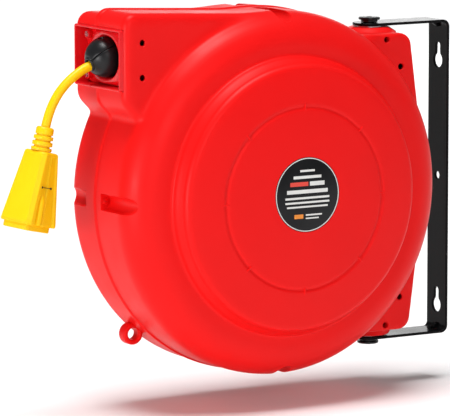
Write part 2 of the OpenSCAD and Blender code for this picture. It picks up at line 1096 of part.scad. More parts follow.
module contacts() {
    color([0.8, 0.65, 0.3])
        at_plug()
            for (y = [-6.5, 6.5])
                translate([-1.5, y - 0.4, -plug_len + 1.2])
                    cube([7, 0.8, 3.8]);
}

wall_bracket();
front_shell();
rear_shell();
pivot_bolts();
pivot_bushings();
pivot_washers();
pivot_nuts();
label_disc();
mouth_frame();
mouth_funnel();
mouth_screws();
rim_screws();
shell_screws();
main_shaft();
shaft_screw();
shaft_clips();
spring_arbor();
spool_hub();
front_flange();
rear_flange();
flange_screws();
spool_bushes();
ratchet_ring();
spring_can();
can_cover();
can_screws();
mainspring();
cord_winding();
cord_anchor();
slip_carrier();
slip_rings();
brush_holder();
brushes();
brush_springs();
pawl();
pawl_pin();
pawl_spring();
inlet_gland();
gland_nut();
lead_in_cord();
ball_upper();
ball_lower();
ball_screws();
free_cord();
strain_relief();
connector_body();
connector_cap();
contacts();
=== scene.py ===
import json
import math
import bpy
import numpy as np
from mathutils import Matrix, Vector


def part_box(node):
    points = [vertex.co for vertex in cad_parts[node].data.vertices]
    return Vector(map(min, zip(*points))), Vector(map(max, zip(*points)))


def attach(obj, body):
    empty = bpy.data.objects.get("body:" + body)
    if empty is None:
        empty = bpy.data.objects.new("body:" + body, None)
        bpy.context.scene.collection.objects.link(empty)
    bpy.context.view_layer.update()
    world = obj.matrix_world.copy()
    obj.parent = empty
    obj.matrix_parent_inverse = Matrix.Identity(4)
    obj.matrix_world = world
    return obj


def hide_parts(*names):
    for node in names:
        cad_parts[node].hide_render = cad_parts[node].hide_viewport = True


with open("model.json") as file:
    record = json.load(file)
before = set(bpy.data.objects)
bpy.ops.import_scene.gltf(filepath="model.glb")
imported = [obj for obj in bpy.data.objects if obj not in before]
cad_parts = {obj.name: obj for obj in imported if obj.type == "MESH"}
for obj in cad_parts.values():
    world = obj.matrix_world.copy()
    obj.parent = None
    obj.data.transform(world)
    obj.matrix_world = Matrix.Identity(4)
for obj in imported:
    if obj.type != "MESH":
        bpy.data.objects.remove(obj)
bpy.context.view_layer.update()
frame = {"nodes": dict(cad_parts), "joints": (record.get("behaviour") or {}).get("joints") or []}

MM = 0.001
nodes = frame["nodes"]
joints = {j["name"]: j for j in frame["joints"]}
scene = bpy.context.scene

# The drum frame: u to the right, v up, w to the front, in millimetres from the drum's centre.
DRUM = Vector(joints["spool_spin"]["pos_m"])
PIVOT = Vector(joints["case_swivel"]["pos_m"])
WALL_LO, WALL_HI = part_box("wall_bracket")
FRAME_LO, FRAME_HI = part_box("mouth_frame")
LABEL_LO, LABEL_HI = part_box("label_disc")
CORD_LO, CORD_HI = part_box("free_cord")
LEAD_LO, LEAD_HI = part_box("lead_in_cord")


def to_world(p):
    """Drum-frame points in millimetres to the row frame in metres."""
    p = np.atleast_2d(np.asarray(p, float))
    return np.stack([DRUM.x + p[:, 0] * MM, -p[:, 2] * MM, DRUM.z + p[:, 1] * MM], 1)


def in_world(part):
    """A drum-frame part in the row frame."""
    return to_world(part[0]), part[1]


# ---------- camera, and the line of the free cord ----------

AZ, EL = math.radians(31.52), math.radians(7.90)
CAMERA_AT = (-2.6495, -3.8749, 0.6139)
SENSOR_MM, LENS_MM, FAR_M = 36, 348, 50
SIGHT = Vector((math.sin(AZ) * math.cos(EL), math.cos(AZ) * math.cos(EL), -math.sin(EL)))
cam_data = bpy.data.cameras.new("camera")
cam = bpy.data.objects.new("camera", cam_data)
scene.collection.objects.link(cam)
cam.location = CAMERA_AT
cam.rotation_euler = SIGHT.to_track_quat("-Z", "Y").to_euler()
cam_data.sensor_width = SENSOR_MM
cam_data.lens = LENS_MM
cam_data.clip_end = FAR_M
scene.camera = cam

CORD_D = 0.0097
CORD_MM = CORD_D / MM
MOUTH_Y = (CORD_LO.y + CORD_HI.y) / 2
# Points (x, z) in metres from the ball stop to the strain relief.
ROUTE = [(-0.440, 0.144), (-0.448, 0.141), (-0.456, 0.1365), (-0.464, 0.131), (-0.471, 0.125),
         (-0.4775, 0.118), (-0.483, 0.110), (-0.4875, 0.1015), (-0.491, 0.0925), (-0.4935, 0.084)]
PLUG_TILT = math.radians(13)
PLUG_TURN = math.radians(20)

# Axes that turn a part's own Z to u, to minus u (out along the cord), or out of the front.
ALONG_U = {"x": (0, 1, 0), "y": (0, 0, 1), "z": (1, 0, 0)}
ALONG_CORD = {"x": (0, 0, 1), "y": (0, 1, 0), "z": (-1, 0, 0)}
FACING_MM = {"x": (MM, 0, 0), "y": (0, 0, MM), "z": (0, -MM, 0)}
ORIGIN = (0, 0, 0)


# ---------- mesh helpers ----------

def outward(verts, faces):
    """The faces of a closed part, turned to face outward."""
    v = np.asarray(verts, float)
    v = v - v.mean(0)
    tris = np.array([(f[0], f[k], f[k + 1]) for f in faces for k in range(1, len(f) - 1)])
    volume = np.einsum("ij,ij->i", v[tris[:, 0]], np.cross(v[tris[:, 1]], v[tris[:, 2]])).sum()
    return faces if volume > 0 else [tuple(reversed(f)) for f in faces]


def make(name, verts, faces, mat, body, smooth=40, replaces=(), slot=None):
    """A mesh object from vertices in metres, riding on a body."""
    me = bpy.data.meshes.new(name)
    me.from_pydata([tuple(v) for v in verts], [], [tuple(f) for f in outward(verts, faces)])
    me.validate()
    me.update()
    ob = bpy.data.objects.new(name, me)
    scene.collection.objects.link(ob)
    finish_mesh(ob, smooth)
    me.materials.append(mat)
    settle(ob, body, replaces)
    return ob


def finish_mesh(ob, smooth):
    """Smooth shading, with edges sharper than smooth degrees kept sharp."""
    me = ob.data
    me.polygons.foreach_set("use_smooth", [True] * len(me.polygons))
    me.set_sharp_from_angle(angle=math.radians(smooth))


def settle(ob, body, replaces=()):
    """Puts a piece on its body, and hides the parts it replaces."""
    if body:
        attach(ob, body)
    if replaces:
        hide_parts(*replaces)


def loft(rings, closed=True, cap=True):
    """Vertices and faces through rings of equal length; cap closes both ends."""
    n = len(rings[0])
    verts = [tuple(p) for r in rings for p in r]
    faces = []
    m = n if closed else n - 1
    for i in range(len(rings) - 1):
        for k in range(m):
            a, b = i * n + k, i * n + (k + 1) % n
            faces.append((a, b, b + n, a + n))
    if cap:
        faces.append(tuple(range(n - 1, -1, -1)))
        faces.append(tuple((len(rings) - 1) * n + k for k in range(n)))
    return verts, faces


def loft_round(rings):
    """A loft whose last ring joins the first, like a tyre."""
    verts, faces = loft(rings + rings[:1], cap=False)
    keep = len(verts) - len(rings[0])
    return verts[:keep], [tuple(i % keep for i in f) for f in faces]


def merge(parts):
    """Joins (verts, faces) pairs into one."""
    verts, faces = [], []
    for v, f in parts:
        base = len(verts)
        f = outward(v, f)
        verts += [tuple(p) for p in v]
        faces += [tuple(i + base for i in q) for q in f]
    return verts, faces


def lathe(profile, n=64, turn=360.0, start=0.0):
    """A closed (radius, height) profile turned about Z; a part turn gets end caps."""
    full = abs(turn - 360) < 1e-6
    steps = n if full else n + 1
    verts, faces = [], []
    m = len(profile)
    for i in range(steps):
        a = math.radians(start + turn * i / n)
        verts += [(r * math.cos(a), r * math.sin(a), h) for r, h in profile]
    for i in range(n):
        for k in range(m):
            a = i * m + k
            b = i * m + (k + 1) % m
            c = ((i + 1) % steps) * m + (k + 1) % m
            d = ((i + 1) % steps) * m + k
            faces.append((a, d, c, b))
    if not full:
        faces.append(tuple(range(m)))
        faces.append(tuple(n * m + k for k in range(m - 1, -1, -1)))
    return verts, faces


def lathe_open(profile, n=64):
    """A profile that starts and ends on the axis, turned about Z."""
    verts = [(0, 0, profile[0][1])]
    faces = []
    inner = profile[1:-1]
    m = len(inner)
    for i in range(n):
        a = 2 * math.pi * i / n
        verts += [(r * math.cos(a), r * math.sin(a), h) for r, h in inner]
    verts.append((0, 0, profile[-1][1]))
    last = len(verts) - 1
    for i in range(n):
        j = (i + 1) % n
        faces.append((0, 1 + j * m, 1 + i * m))
        for k in range(m - 1):
            faces.append((1 + i * m + k, 1 + j * m + k, 1 + j * m + k + 1, 1 + i * m + k + 1))
        faces.append((last, 1 + i * m + m - 1, 1 + j * m + m - 1))
    return verts, faces


def moved(part, origin, x=(1, 0, 0), y=(0, 1, 0), z=(0, 0, 1), scale=1.0):
    """A part's vertices placed on the axes x, y, z at origin."""
    v, f = part
    axes = np.array([x, y, z], float)
    w = np.asarray(v, float) * scale @ axes + np.asarray(origin, float)
    if np.linalg.det(axes) < 0:
        f = [tuple(reversed(q)) for q in f]
    return w, f


def rounded(points, r, n=4):
    """A 2D polygon with its corners rounded; r is one radius or one per corner."""
    pts = [np.array(p, float) for p in points]
    count = len(pts)
    radii = r if isinstance(r, (list, tuple)) else [r] * count
    out = []
    for i in range(count):
        p, a, b = pts[i], pts[i - 1], pts[(i + 1) % count]
        da, db = (a - p), (b - p)
        la, lb = np.linalg.norm(da), np.linalg.norm(db)
        da, db = da / la, db / lb
        half = math.acos(max(-1, min(1, float(da @ db)))) / 2
        rr = min(radii[i], 0.49 * min(la, lb) * math.tan(half))
        if rr <= 1e-6 or half > math.pi / 2 - 1e-3:
            out.append(tuple(p))
            continue
        t = rr / math.tan(half)
        c = p + (da + db) / np.linalg.norm(da + db) * rr / math.sin(half)
        s, e = p + da * t - c, p + db * t - c
        a0 = math.atan2(s[1], s[0])
        d = math.atan2(e[1], e[0]) - a0
        d = (d + math.pi) % (2 * math.pi) - math.pi
        out += [tuple(c + rr * np.array([math.cos(a0 + d * k / n), math.sin(a0 + d * k / n)]))
                for k in range(n + 1)]
    return out


def circle(r, n, u=0.0, v=0.0):
    """A circle of n points round (u, v), anticlockwise."""
    return [(u + r * math.cos(2 * math.pi * k / n), v + r * math.sin(2 * math.pi * k / n))
            for k in range(n)]


def round_rect(hx, hy, r, n=8):
    """A rounded rectangle about the origin, anticlockwise, 4 * (n + 1) points."""
    out = []
    for cx, cy, a0 in ((1, 1, 0), (-1, 1, 90), (-1, -1, 180), (1, -1, 270)):
        for k in range(n + 1):
            a = math.radians(a0 + 90 * k / n)
            out.append((cx * (hx - r) + r * math.cos(a), cy * (hy - r) + r * math.sin(a)))
    return out


def prism(outline, z0, z1, bevel=0.0, steps=3):
    """An extruded outline (anticlockwise) with rounded top and bottom edges."""
    pts = np.array(outline, float)
    prev, nxt = np.roll(pts, 1, 0), np.roll(pts, -1, 0)
    e1 = (pts - prev) / np.linalg.norm(pts - prev, axis=1)[:, None]
    e2 = (nxt - pts) / np.linalg.norm(nxt - pts, axis=1)[:, None]
    n1 = np.stack([e1[:, 1], -e1[:, 0]], 1)
    n2 = np.stack([e2[:, 1], -e2[:, 0]], 1)
    nrm = n1 + n2
    nrm /= np.maximum(np.linalg.norm(nrm, axis=1), 1e-9)[:, None]
    grow = 1 / np.maximum((nrm * n1).sum(1), 0.5)
    levels = [(0, z0), (0, z1)]
    if bevel > 0:
        quarter = [math.pi / 2 * k / steps for k in range(steps + 1)]
        levels = [(bevel * (1 - math.sin(a)), z0 + bevel * (1 - math.cos(a))) for a in quarter]
        levels += [(bevel * (1 - math.cos(a)), z1 - bevel * (1 - math.sin(a))) for a in quarter]
    rings = []
    for inset, z in levels:
        q = pts - nrm * (grow * inset)[:, None]
        rings.append([(p[0], p[1], z) for p in q])
    return loft(rings)


def rod_part(r, z0, z1, n=40):
    """A cylinder about Z."""
    return prism(circle(r, n), z0, z1)


def cut(ob, cutters, operation="DIFFERENCE"):
    """Cuts closed (verts, faces) shapes, in metres, out of an object, or keeps what they cover."""
    tool = bpy.data.meshes.new("tool")
    v, f = merge(cutters)
    tool.from_pydata([tuple(p) for p in v], [], f)
    tool.update()
    tob = bpy.data.objects.new("tool", tool)
    scene.collection.objects.link(tob)
    mod = ob.modifiers.new("cut", "BOOLEAN")
    mod.operation = operation
    mod.solver = "EXACT"
    mod.use_self = False
    mod.object = tob
    bpy.context.view_layer.update()
    done = bpy.data.meshes.new_from_object(ob.evaluated_get(bpy.context.evaluated_depsgraph_get()))
    ob.modifiers.clear()
    ob.data = done
    bpy.data.objects.remove(tob)


# ---------- materials ----------

BUMP_DEPTH = 0.0004


def material(name, colour, rough, metal=0.0, vary=0.06, grain=900.0, bump=0.05,
             scratch=0.0, spec=0.5, blotch=25.0):
    """A procedural surface: colour drift, uneven gloss, fine grain and light scuffs."""
    m = bpy.data.materials.new(name)
    m.use_nodes = True
    nt = m.node_tree
    bsdf = nt.nodes["Principled BSDF"]
    link = nt.links.new
    coord = nt.nodes.new("ShaderNodeTexCoord")

    def noise(scale, detail, stretch=(1, 1, 1)):
        mapping = nt.nodes.new("ShaderNodeMapping")
        mapping.inputs["Scale"].default_value = stretch
        link(coord.outputs["Object"], mapping.inputs["Vector"])
        n = nt.nodes.new("ShaderNodeTexNoise")
        n.inputs["Scale"].default_value = scale
        n.inputs["Detail"].default_value = detail
        link(mapping.outputs["Vector"], n.inputs["Vector"])
        return n.outputs["Fac"]

    def spread(fac, lo, hi):
        r = nt.nodes.new("ShaderNodeMapRange")
        r.inputs["From Min"].default_value = 0.3
        r.inputs["From Max"].default_value = 0.7
        r.inputs["To Min"].default_value = lo
        r.inputs["To Max"].default_value = hi
        link(fac, r.inputs["Value"])
        return r.outputs["Result"]

    mix = nt.nodes.new("ShaderNodeMix")
    mix.data_type = "RGBA"
    dark = [c * (1 - vary) for c in colour]
    light = [min(1.0, c * (1 + vary) + vary * 0.01) for c in colour]
    mix.inputs["A"].default_value = (*dark, 1)
    mix.inputs["B"].default_value = (*light, 1)
    link(spread(noise(blotch, 4), 0, 1), mix.inputs["Factor"])
    link(mix.outputs["Result"], bsdf.inputs["Base Color"])
    link(spread(noise(blotch * 3, 5), rough * 0.88, min(1, rough * 1.15)), bsdf.inputs["Roughness"])
    fine = noise(grain, 3)
    height = fine
    if scratch > 0:
        lines = noise(260, 6, (1, 1, 0.04))
        add = nt.nodes.new("ShaderNodeMath")
        add.operation = "MULTIPLY_ADD"
        add.inputs[1].default_value = scratch
        link(lines, add.inputs[0])
        link(fine, add.inputs[2])
        height = add.outputs["Value"]
    b = nt.nodes.new("ShaderNodeBump")
    b.inputs["Strength"].default_value = bump
    b.inputs["Distance"].default_value = BUMP_DEPTH
    link(height, b.inputs["Height"])
    link(b.outputs["Normal"], bsdf.inputs["Normal"])
    bsdf.inputs["Metallic"].default_value = metal
    bsdf.inputs["Specular IOR Level"].default_value = spec
    return m


CASE = material("case_plastic", (0.80, 0.006, 0.006), 0.40, vary=0.03, grain=1400, bump=0.06,
                blotch=9, spec=0.13)
GUIDE = material("guide_plastic", (0.74, 0.004, 0.008), 0.22, vary=0.03, grain=900, bump=0.03,
                 spec=0.5)
FRAME_RED = material("frame_plastic", (0.72, 0.004, 0.008), 0.30, vary=0.03, grain=900, bump=0.04,
                     spec=0.35)
BRACKET = material("bracket_coat", (0.003, 0.003, 0.0035), 0.20, grain=650, bump=0.10, vary=0.2,
                   spec=0.07)
BLACK_STEEL = material("black_steel", (0.008, 0.008, 0.009), 0.26, grain=800, bump=0.08, vary=0.2,
                       spec=0.3)
ZINC = material("zinc_steel", (0.62, 0.63, 0.65), 0.26, metal=1, vary=0.12, grain=1200, bump=0.12,
                scratch=0.8)
SPRING_BLUE = material("spring_steel", (0.17, 0.20, 0.28), 0.24, metal=1, vary=0.15, bump=0.08,
                       scratch=0.6)
BRONZE = material("bush_bronze", (0.62, 0.40, 0.17), 0.34, metal=1, vary=0.12, grain=2200, bump=0.2)
BRASS = material("contact_brass", (0.80, 0.56, 0.24), 0.22, metal=1, vary=0.08, bump=0.06,
                 scratch=0.5)
CORD_YELLOW = material("cord_jacket", (0.95, 0.56, 0.002), 0.36, vary=0.03, grain=700, bump=0.08,
                       spec=0.25)
PLUG_YELLOW = material("connector_rubber", (0.95, 0.56, 0.002), 0.45, vary=0.03, grain=1500,
                       bump=0.10, spec=0.2)
BALL = material("ball_rubber", (0.006, 0.006, 0.007), 0.34, vary=0.2, grain=1100, bump=0.14,
                spec=0.3)
SPOOL = material("spool_plastic", (0.02, 0.02, 0.022), 0.42, vary=0.15, grain=1300, bump=0.10)
CREAM = material("carrier_phenolic", (0.70, 0.62, 0.42), 0.40, vary=0.10, grain=1500, bump=0.10)
CARBON = material("brush_carbon", (0.02, 0.02, 0.023), 0.62, vary=0.25, grain=2600, bump=0.25)
# Near-black for the two dots and the thin line on the connector's side.
DARK = material("connector_marks_dark", (0.02, 0.012, 0.003), 0.6, vary=0.2, bump=0.1)
LABEL = material("label_black", (0.006, 0.006, 0.007), 0.34, vary=0.2, grain=1600, bump=0.03,
                 spec=0.2)
PRINT = material("label_print", (0.72, 0.72, 0.70), 0.38, vary=0.05, grain=2500, bump=0.04)
PRINT_RED = material("label_print_red", (0.72, 0.05, 0.03), 0.38, vary=0.05, grain=2500, bump=0.04)
PRINT_ORANGE = material("label_print_orange", (0.80, 0.25, 0.02), 0.38, vary=0.05, grain=2500,
                        bump=0.04)

NODE_LOOKS = {
    ZINC: ["pivot_washers", "pivot_nuts", "mouth_screws", "shell_screws", "main_shaft",
           "shaft_screw", "shaft_clips", "spring_arbor", "flange_screws", "ratchet_ring",
           "spring_can", "can_cover", "can_screws", "brush_springs", "pawl", "pawl_pin",
           "pawl_spring", "ball_screws"],
    BLACK_STEEL: ["pivot_bolts", "pivot_bushings", "rim_screws"],
    SPOOL: ["spool_hub", "front_flange", "rear_flange", "cord_anchor", "brush_holder",
            "inlet_gland", "gland_nut"],
    BRONZE: ["spool_bushes"],
    SPRING_BLUE: ["mainspring"],
    CREAM: ["slip_carrier"],
    BRASS: ["slip_rings", "contacts"],
    CARBON: ["brushes"],
    BRACKET: ["wall_bracket"],
    CASE: ["front_shell", "rear_shell"],
    FRAME_RED: ["mouth_frame"],
    GUIDE: ["mouth_funnel"],
    LABEL: ["label_disc"],
    BALL: ["ball_upper", "ball_lower"],
    PLUG_YELLOW: ["connector_body", "connector_cap"],
    CORD_YELLOW: ["cord_winding", "lead_in_cord", "free_cord", "strain_relief"],
}
for look, names in NODE_LOOKS.items():
    for node in names:
        nodes[node].data.materials.clear()
        nodes[node].data.materials.append(look)
        finish_mesh(nodes[node], 35)


# ---------- case shells ----------

DRUM_R, FRONT_SIDE, FRONT_RIM, PLATEAU_R, CROWN = 192.0, 48.0, 35.0, 141.0, 111.8
REAR_SIDE, REAR_RIM, REAR_FLAT = 37.0, 15.0, 60.0
GROOVE_R, GROOVE_HALF, GROOVE_DEPTH = 95.7, 3.2, 1.5
WALL = 3.0
MOUTH_LINE, MOUTH_W, BLOCK_U = 149.0, 8.0, -188.5
# The channels for the long screws; those of the rear shell lie REAR_OUT further out.
CHANNEL_R, POCKET_R, POCKET_SEAT, REAR_OUT = 190.0, 9.0, 15.0, 3
SINK = 0.08  # a well lies this far behind the cut in the skin, so the two never share a plane
BLOCK_SCREWS = [(-167, 167), (-167, 131)]
EAR_SCREWS = [(140.3, 153.5), (158.2, 124), (158.2, -124), (140.3, -153.5)]
HOLE_R = 3.2
SCREW_R = 186.0
RIM_ANGLES = np.radians([90, 180, 270])
FRONT_TOP, REAR_TOP = 197.5, 192.5
BLOCK_FACE, EAR_FACE, EAR_TOP = 59.5, 48.0, 159.5
GLAND = (70, -55)
TIE_EYE = (-133.3, -148.4, -24.5)


def bow(c, r, a0, a1, n):
    """An arc of n steps round c, from a0 to a1 degrees."""
    return [(c[0] + r * math.cos(math.radians(a0 + (a1 - a0) * k / n)),
             c[1] + r * math.sin(math.radians(a0 + (a1 - a0) * k / n))) for k in range(n + 1)]


def dome(r):
    """Depth of the plateau's gently domed face, with its soft ring groove."""
    w = CROWN - 8.8 * (r / 133) ** 2.2
    d = abs(r - GROOVE_R)
    if d >= GROOVE_HALF:
        return w
    return w - GROOVE_DEPTH / 2 * (1 + math.cos(math.pi * d / GROOVE_HALF))


def front_profile():
    """Radius and depth of the front shell, from the seam over the rim to the middle."""
    pts = [(DRUM_R, w) for w in (-30, 0, 2, 4, 6, 8, 12, 18, 24, 30, 36, 42)]
    pts += bow((DRUM_R - FRONT_RIM, FRONT_SIDE), FRONT_RIM, 0, 90, 22)
    pts += [(154, 83), (151, 83)]
    pts += bow((149.5, 86.5), 3.5, -90, -180, 5)
    pts += [(144.6, 90)]
    pts += bow((PLATEAU_R - 8.4, 94.8), 8, 0, 84, 9)
    across = (5, 3.2, 2.4, 1.6, .8, 0, -.8, -1.6, -2.4, -3.2, -5)
    radii = [130, 126, 120, 113, 106] + [GROOVE_R + d for d in across]
    radii += [87, 80, 72, 64, 56, 49, 45, 42, 38, 30, 20, 10]
    return pts + [(r, dome(r)) for r in radii] + [(0, CROWN)]


def rear_profile():
    """The same for the rear shell, with its depth counted backward."""
    pts = [(DRUM_R, w) for w in (-30, 0, 2, 4, 6, 8, 12, 18, 24, 30)]
    pts += bow((DRUM_R - REAR_RIM, REAR_SIDE), REAR_RIM, 0, 90, 14)
    pts += [(170, 52), (160, 52), (150, 52), (140, 52), (132, 52), (128, 52)]
    pts += bow((125, 55), 3, -90, -180, 4)
    pts += bow((116, 56), 4, 0, 90, 5)
    radii = [108, 100, 90, 80, 70, 60, 50, 40, 30, 20, 10, 0]
    return pts + [(r, REAR_FLAT) for r in radii]


def sd_poly(px, py, poly):
    """Signed distance to a closed polygon, negative inside."""
    v = np.array(poly, float)
    best = np.full(px.shape, 1e9)
    inside = np.zeros(px.shape, bool)
    for i in range(len(v)):
        (x0, y0), (x1, y1) = v[i - 1], v[i]
        ex, ey = x1 - x0, y1 - y0
        wx, wy = px - x0, py - y0
        t = np.clip((wx * ex + wy * ey) / (ex * ex + ey * ey + 1e-12), 0, 1)
        best = np.minimum(best, (wx - ex * t) ** 2 + (wy - ey * t) ** 2)
        inside ^= (((y0 > py) != (y1 > py))
                   & (px < ex * (py - y0) / (ey if abs(ey) > 1e-9 else 1e-9) + x0))
    d = np.sqrt(best)
    return np.where(inside, -d, d)


class DrumField:
    """Distance to the turned drum, looked up in a 1 mm grid over radius and depth."""

    FAR, BACK, FRONT = 301, -12, 150

    def __init__(self, profile):
        left = [(-r, w) for r, w in reversed(profile[:-1])]
        gr, gw = np.meshgrid(np.arange(0, self.FAR, 1.0), np.arange(self.BACK, self.FRONT, 1.0),
                             indexing="ij")
        self.g = sd_poly(gr.ravel(), gw.ravel(), list(profile) + left).reshape(gr.shape)

    def __call__(self, r, w):
        fi = np.clip(r, 0, self.FAR - 1.1)
        fj = np.clip(w - self.BACK, 0, self.FRONT - self.BACK - 1.1)
        i, j = fi.astype(int), fj.astype(int)
        a, b = fi - i, fj - j
        g = self.g
        return ((1 - a) * (1 - b) * g[i, j] + a * (1 - b) * g[i + 1, j]
                + (1 - a) * b * g[i, j + 1] + a * b * g[i + 1, j + 1])


def block(p, outline, depth, edge):
    """Distance to an upright block with a rounded front edge, unlimited behind the seam."""
    d2 = sd_poly(p[0], p[1], outline) + edge
    dw = p[2] - depth + edge
    return np.minimum(np.maximum(d2, dw), 0) + np.hypot(np.maximum(d2, 0), np.maximum(dw, 0)) - edge


def blend_min(a, b, k):
    """The nearer of two distances, with a fillet about k wide between them."""
    h = np.clip(0.5 + 0.5 * (b - a) / k, 0, 1)
    return b + (a - b) * h - k * h * (1 - h)


def mouth_outline(top):
    """The block that carries the cord's mouth, seen from the front."""
    pts = [(-90, 60), (0, 100), (0, 189), (BLOCK_U, top + 0.7), (BLOCK_U, 103.7), (-165, 80.2)]
    return rounded(pts, [0, 0, 0, 14, 20, 0], 6)


EAR_OUTLINE = rounded([(60, -EAR_TOP), (170.4, -EAR_TOP), (183.7, -60), (183.7, 60),
                       (170.4, EAR_TOP), (60, EAR_TOP)], [0, 14, 4, 4, 14, 0], 6)


# How a shell is meshed: rays in a turn, and the span searched on each ray, in millimetres.
N_PHI = 800
NEAR_MM, FAR_MM, HALVINGS = 20.0, 330.0, 21
# At the seam: where the lip fades, how much thicker the wall gets, and half of the open gap.
LIP_FROM, LIP_FADE = 3.4, 2.6
SEAM_EXTRA, SEAM_DEPTH = 0.9, 5
SEAM_RISE, RISE_DEPTH = 0.25, 8


def shell(profile, top, depth, edge, soft, ear_edge, lip):
    """The outer skin and the inner skin of one shell, as one closed mesh in the drum frame.

    Rays leave the drum's middle at elevations psi and turns phi, and stop where the distance field
    is crossed. Near the seam the outside swells by lip, and the wall gets thicker inward.
    """
    drum = DrumField(profile)
    outline = mouth_outline(top)
    rays = [math.atan2(w, r) for r, w in profile if w >= 0]
    rays += [math.radians(a) for a in np.arange(0, 26, 0.5)]
    rays += [math.atan2(w, DRUM_R) for w in (0.8, 3.2, 4.0, 5.0)]
    rays = sorted(rays)
    psi = [0.0]
    for a in rays:
        if a - psi[-1] > math.radians(0.12):
            psi.append(a)
    psi = np.array(psi)
    psi[-1] = math.pi / 2
    phi = np.arange(N_PHI) * 2 * math.pi / N_PHI

    def field(p):
        d = drum(np.hypot(p[0], p[1]), p[2])
        d = blend_min(d, block(p, outline, depth, edge), soft)
        d = blend_min(d, block(p, EAR_OUTLINE, EAR_FACE, ear_edge), 4)
        t = np.clip((p[2] - LIP_FROM) / LIP_FADE, 0, 1)
        return d - lip * (1 - t * t * (3 - 2 * t))

    def march(angles, offset):
        ps, ph = np.meshgrid(angles, phi, indexing="ij")
        d = np.stack([np.cos(ph) * np.cos(ps), np.sin(ph) * np.cos(ps), np.sin(ps)]).reshape(3, -1)
        lo, hi = np.full(d.shape[1], NEAR_MM), np.full(d.shape[1], FAR_MM)
        for _ in range(HALVINGS):
            mid = (lo + hi) / 2
            thicker = SEAM_EXTRA * np.clip(1 - d[2] * mid / SEAM_DEPTH, 0, 1)
            inside = field(d * mid) < -offset * (1 + thicker)
            lo, hi = np.where(inside, mid, lo), np.where(inside, hi, mid)
        return (d * ((lo + hi) / 2)).T.reshape(len(angles), N_PHI, 3)

    outer = march(psi[:-1], 0)
    inner = march(psi[:-1][::5], WALL)
    outer[:, :, 2] += SEAM_RISE * (1 - np.clip(outer[:, :, 2] / RISE_DEPTH, 0, 1))
    inner[0, :, 2] = outer[0, :, 2]
    pole = profile[-1][1]
    rings = ([inner[i] for i in range(len(inner) - 1, -1, -1)]
             + [outer[i] for i in range(len(outer))])
    verts, faces = loft(rings, cap=False)
    verts.append((0, 0, pole - WALL))
    verts.append((0, 0, pole))
    a, b = len(verts) - 2, len(verts) - 1
    last = (len(rings) - 1) * N_PHI
    for k in range(N_PHI):
        faces.append((a, (k + 1) % N_PHI, k))
        faces.append((b, last + k, last + (k + 1) % N_PHI))
    return np.array(verts), faces


def rod(u, v, w0, w1, r, n=64):
    """An upright cylinder in the drum frame, in row-frame metres."""
    return in_world(prism(circle(r, n, u, v), w0, w1))


def crate(u0, u1, v0, v1, w0, w1):
    """A box in the drum frame, in row-frame metres."""
    return in_world(prism([(u0, v0), (u1, v0), (u1, v1), (u0, v1)], w0, w1))


def rim_places(extra=0.0):
    """Middles of the three screw channels in the rim."""
    r = CHANNEL_R + extra
    return [(r * math.cos(a), r * math.sin(a)) for a in RIM_ANGLES]


FRAME_BOX = (-193.0, -150.0, MOUTH_LINE - 31.9, MOUTH_LINE + 31.9, MOUTH_W - 47.2, MOUTH_W + 47.2)

verts, faces = shell(front_profile(), FRONT_TOP, BLOCK_FACE, edge=8.5, soft=6, ear_edge=3.5,
                     lip=1.5)
front = make("front_case_shell", to_world(verts), faces, CASE, None)
cutters = [rod(u, v, POCKET_SEAT, 99, POCKET_R) for u, v in rim_places()]
# Screw holes with a small countersink.
for places, seat, face in ((BLOCK_SCREWS, 26, BLOCK_FACE), (EAR_SCREWS, 20, EAR_FACE)):
    wide = HOLE_R + 0.9
    prof = [(0, seat), (HOLE_R, seat), (HOLE_R, face - 0.8), (wide, face + 0.1), (wide, 75),
            (0, 75)]
    cutters += [in_world(moved(lathe_open(prof, 40), (u, v, 0))) for u, v in places]
# The label's shallow seat.
cutters += [rod(0, 4.9, CROWN - 1.5, CROWN + 9, 39.4, 96)]
cut(front, [crate(*FRAME_BOX)])
cut(front, cutters)
finish_mesh(front, 32)
settle(front, "case", ["front_shell"])

verts, faces = shell(rear_profile(), REAR_TOP, 45, edge=9, soft=6, ear_edge=3.5, lip=0.0)
verts[:, 2] *= -1
faces = [tuple(reversed(f)) for f in faces]
rear = make("rear_case_shell", to_world(verts), faces, CASE, None)
cutters = [rod(u, v, -70, -POCKET_SEAT, POCKET_R) for u, v in rim_places(REAR_OUT)]
cutters += [rod(*GLAND, -70, -50, 9.1, 48)]
cut(rear, [crate(*FRAME_BOX)])
cut(rear, cutters)
finish_mesh(rear, 32)
settle(rear, "case", ["rear_shell"])


def screw_wells(name, profile, side, extra):
    """The walls of the channels sunk into the rim for the long screws."""
    places = rim_places(extra)
    floor, wall, inset, end = 2.5, 1.6, 1.1, 120
    blanks = [rod(u, v, POCKET_SEAT - floor, end, POCKET_R + wall) for u, v in places]
    ob = make(name, *merge(blanks), CASE, None)
    inside = [(max(r - inset, 0), w - inset) for r, w in profile if w > 1.2]
    inside = [(0, 0), (inside[0][0], 0)] + inside
    cut(ob, [in_world(lathe_open(inside, 240))], "INTERSECT")
    cut(ob, [rod(u, v, POCKET_SEAT - SINK, end + 1, POCKET_R + SINK) for u, v in places])
    if side < 0:
        for vert in ob.data.vertices:
            vert.co.y = 2 * DRUM.y - vert.co.y
        ob.data.flip_normals()
    finish_mesh(ob, 32)
    settle(ob, "case")


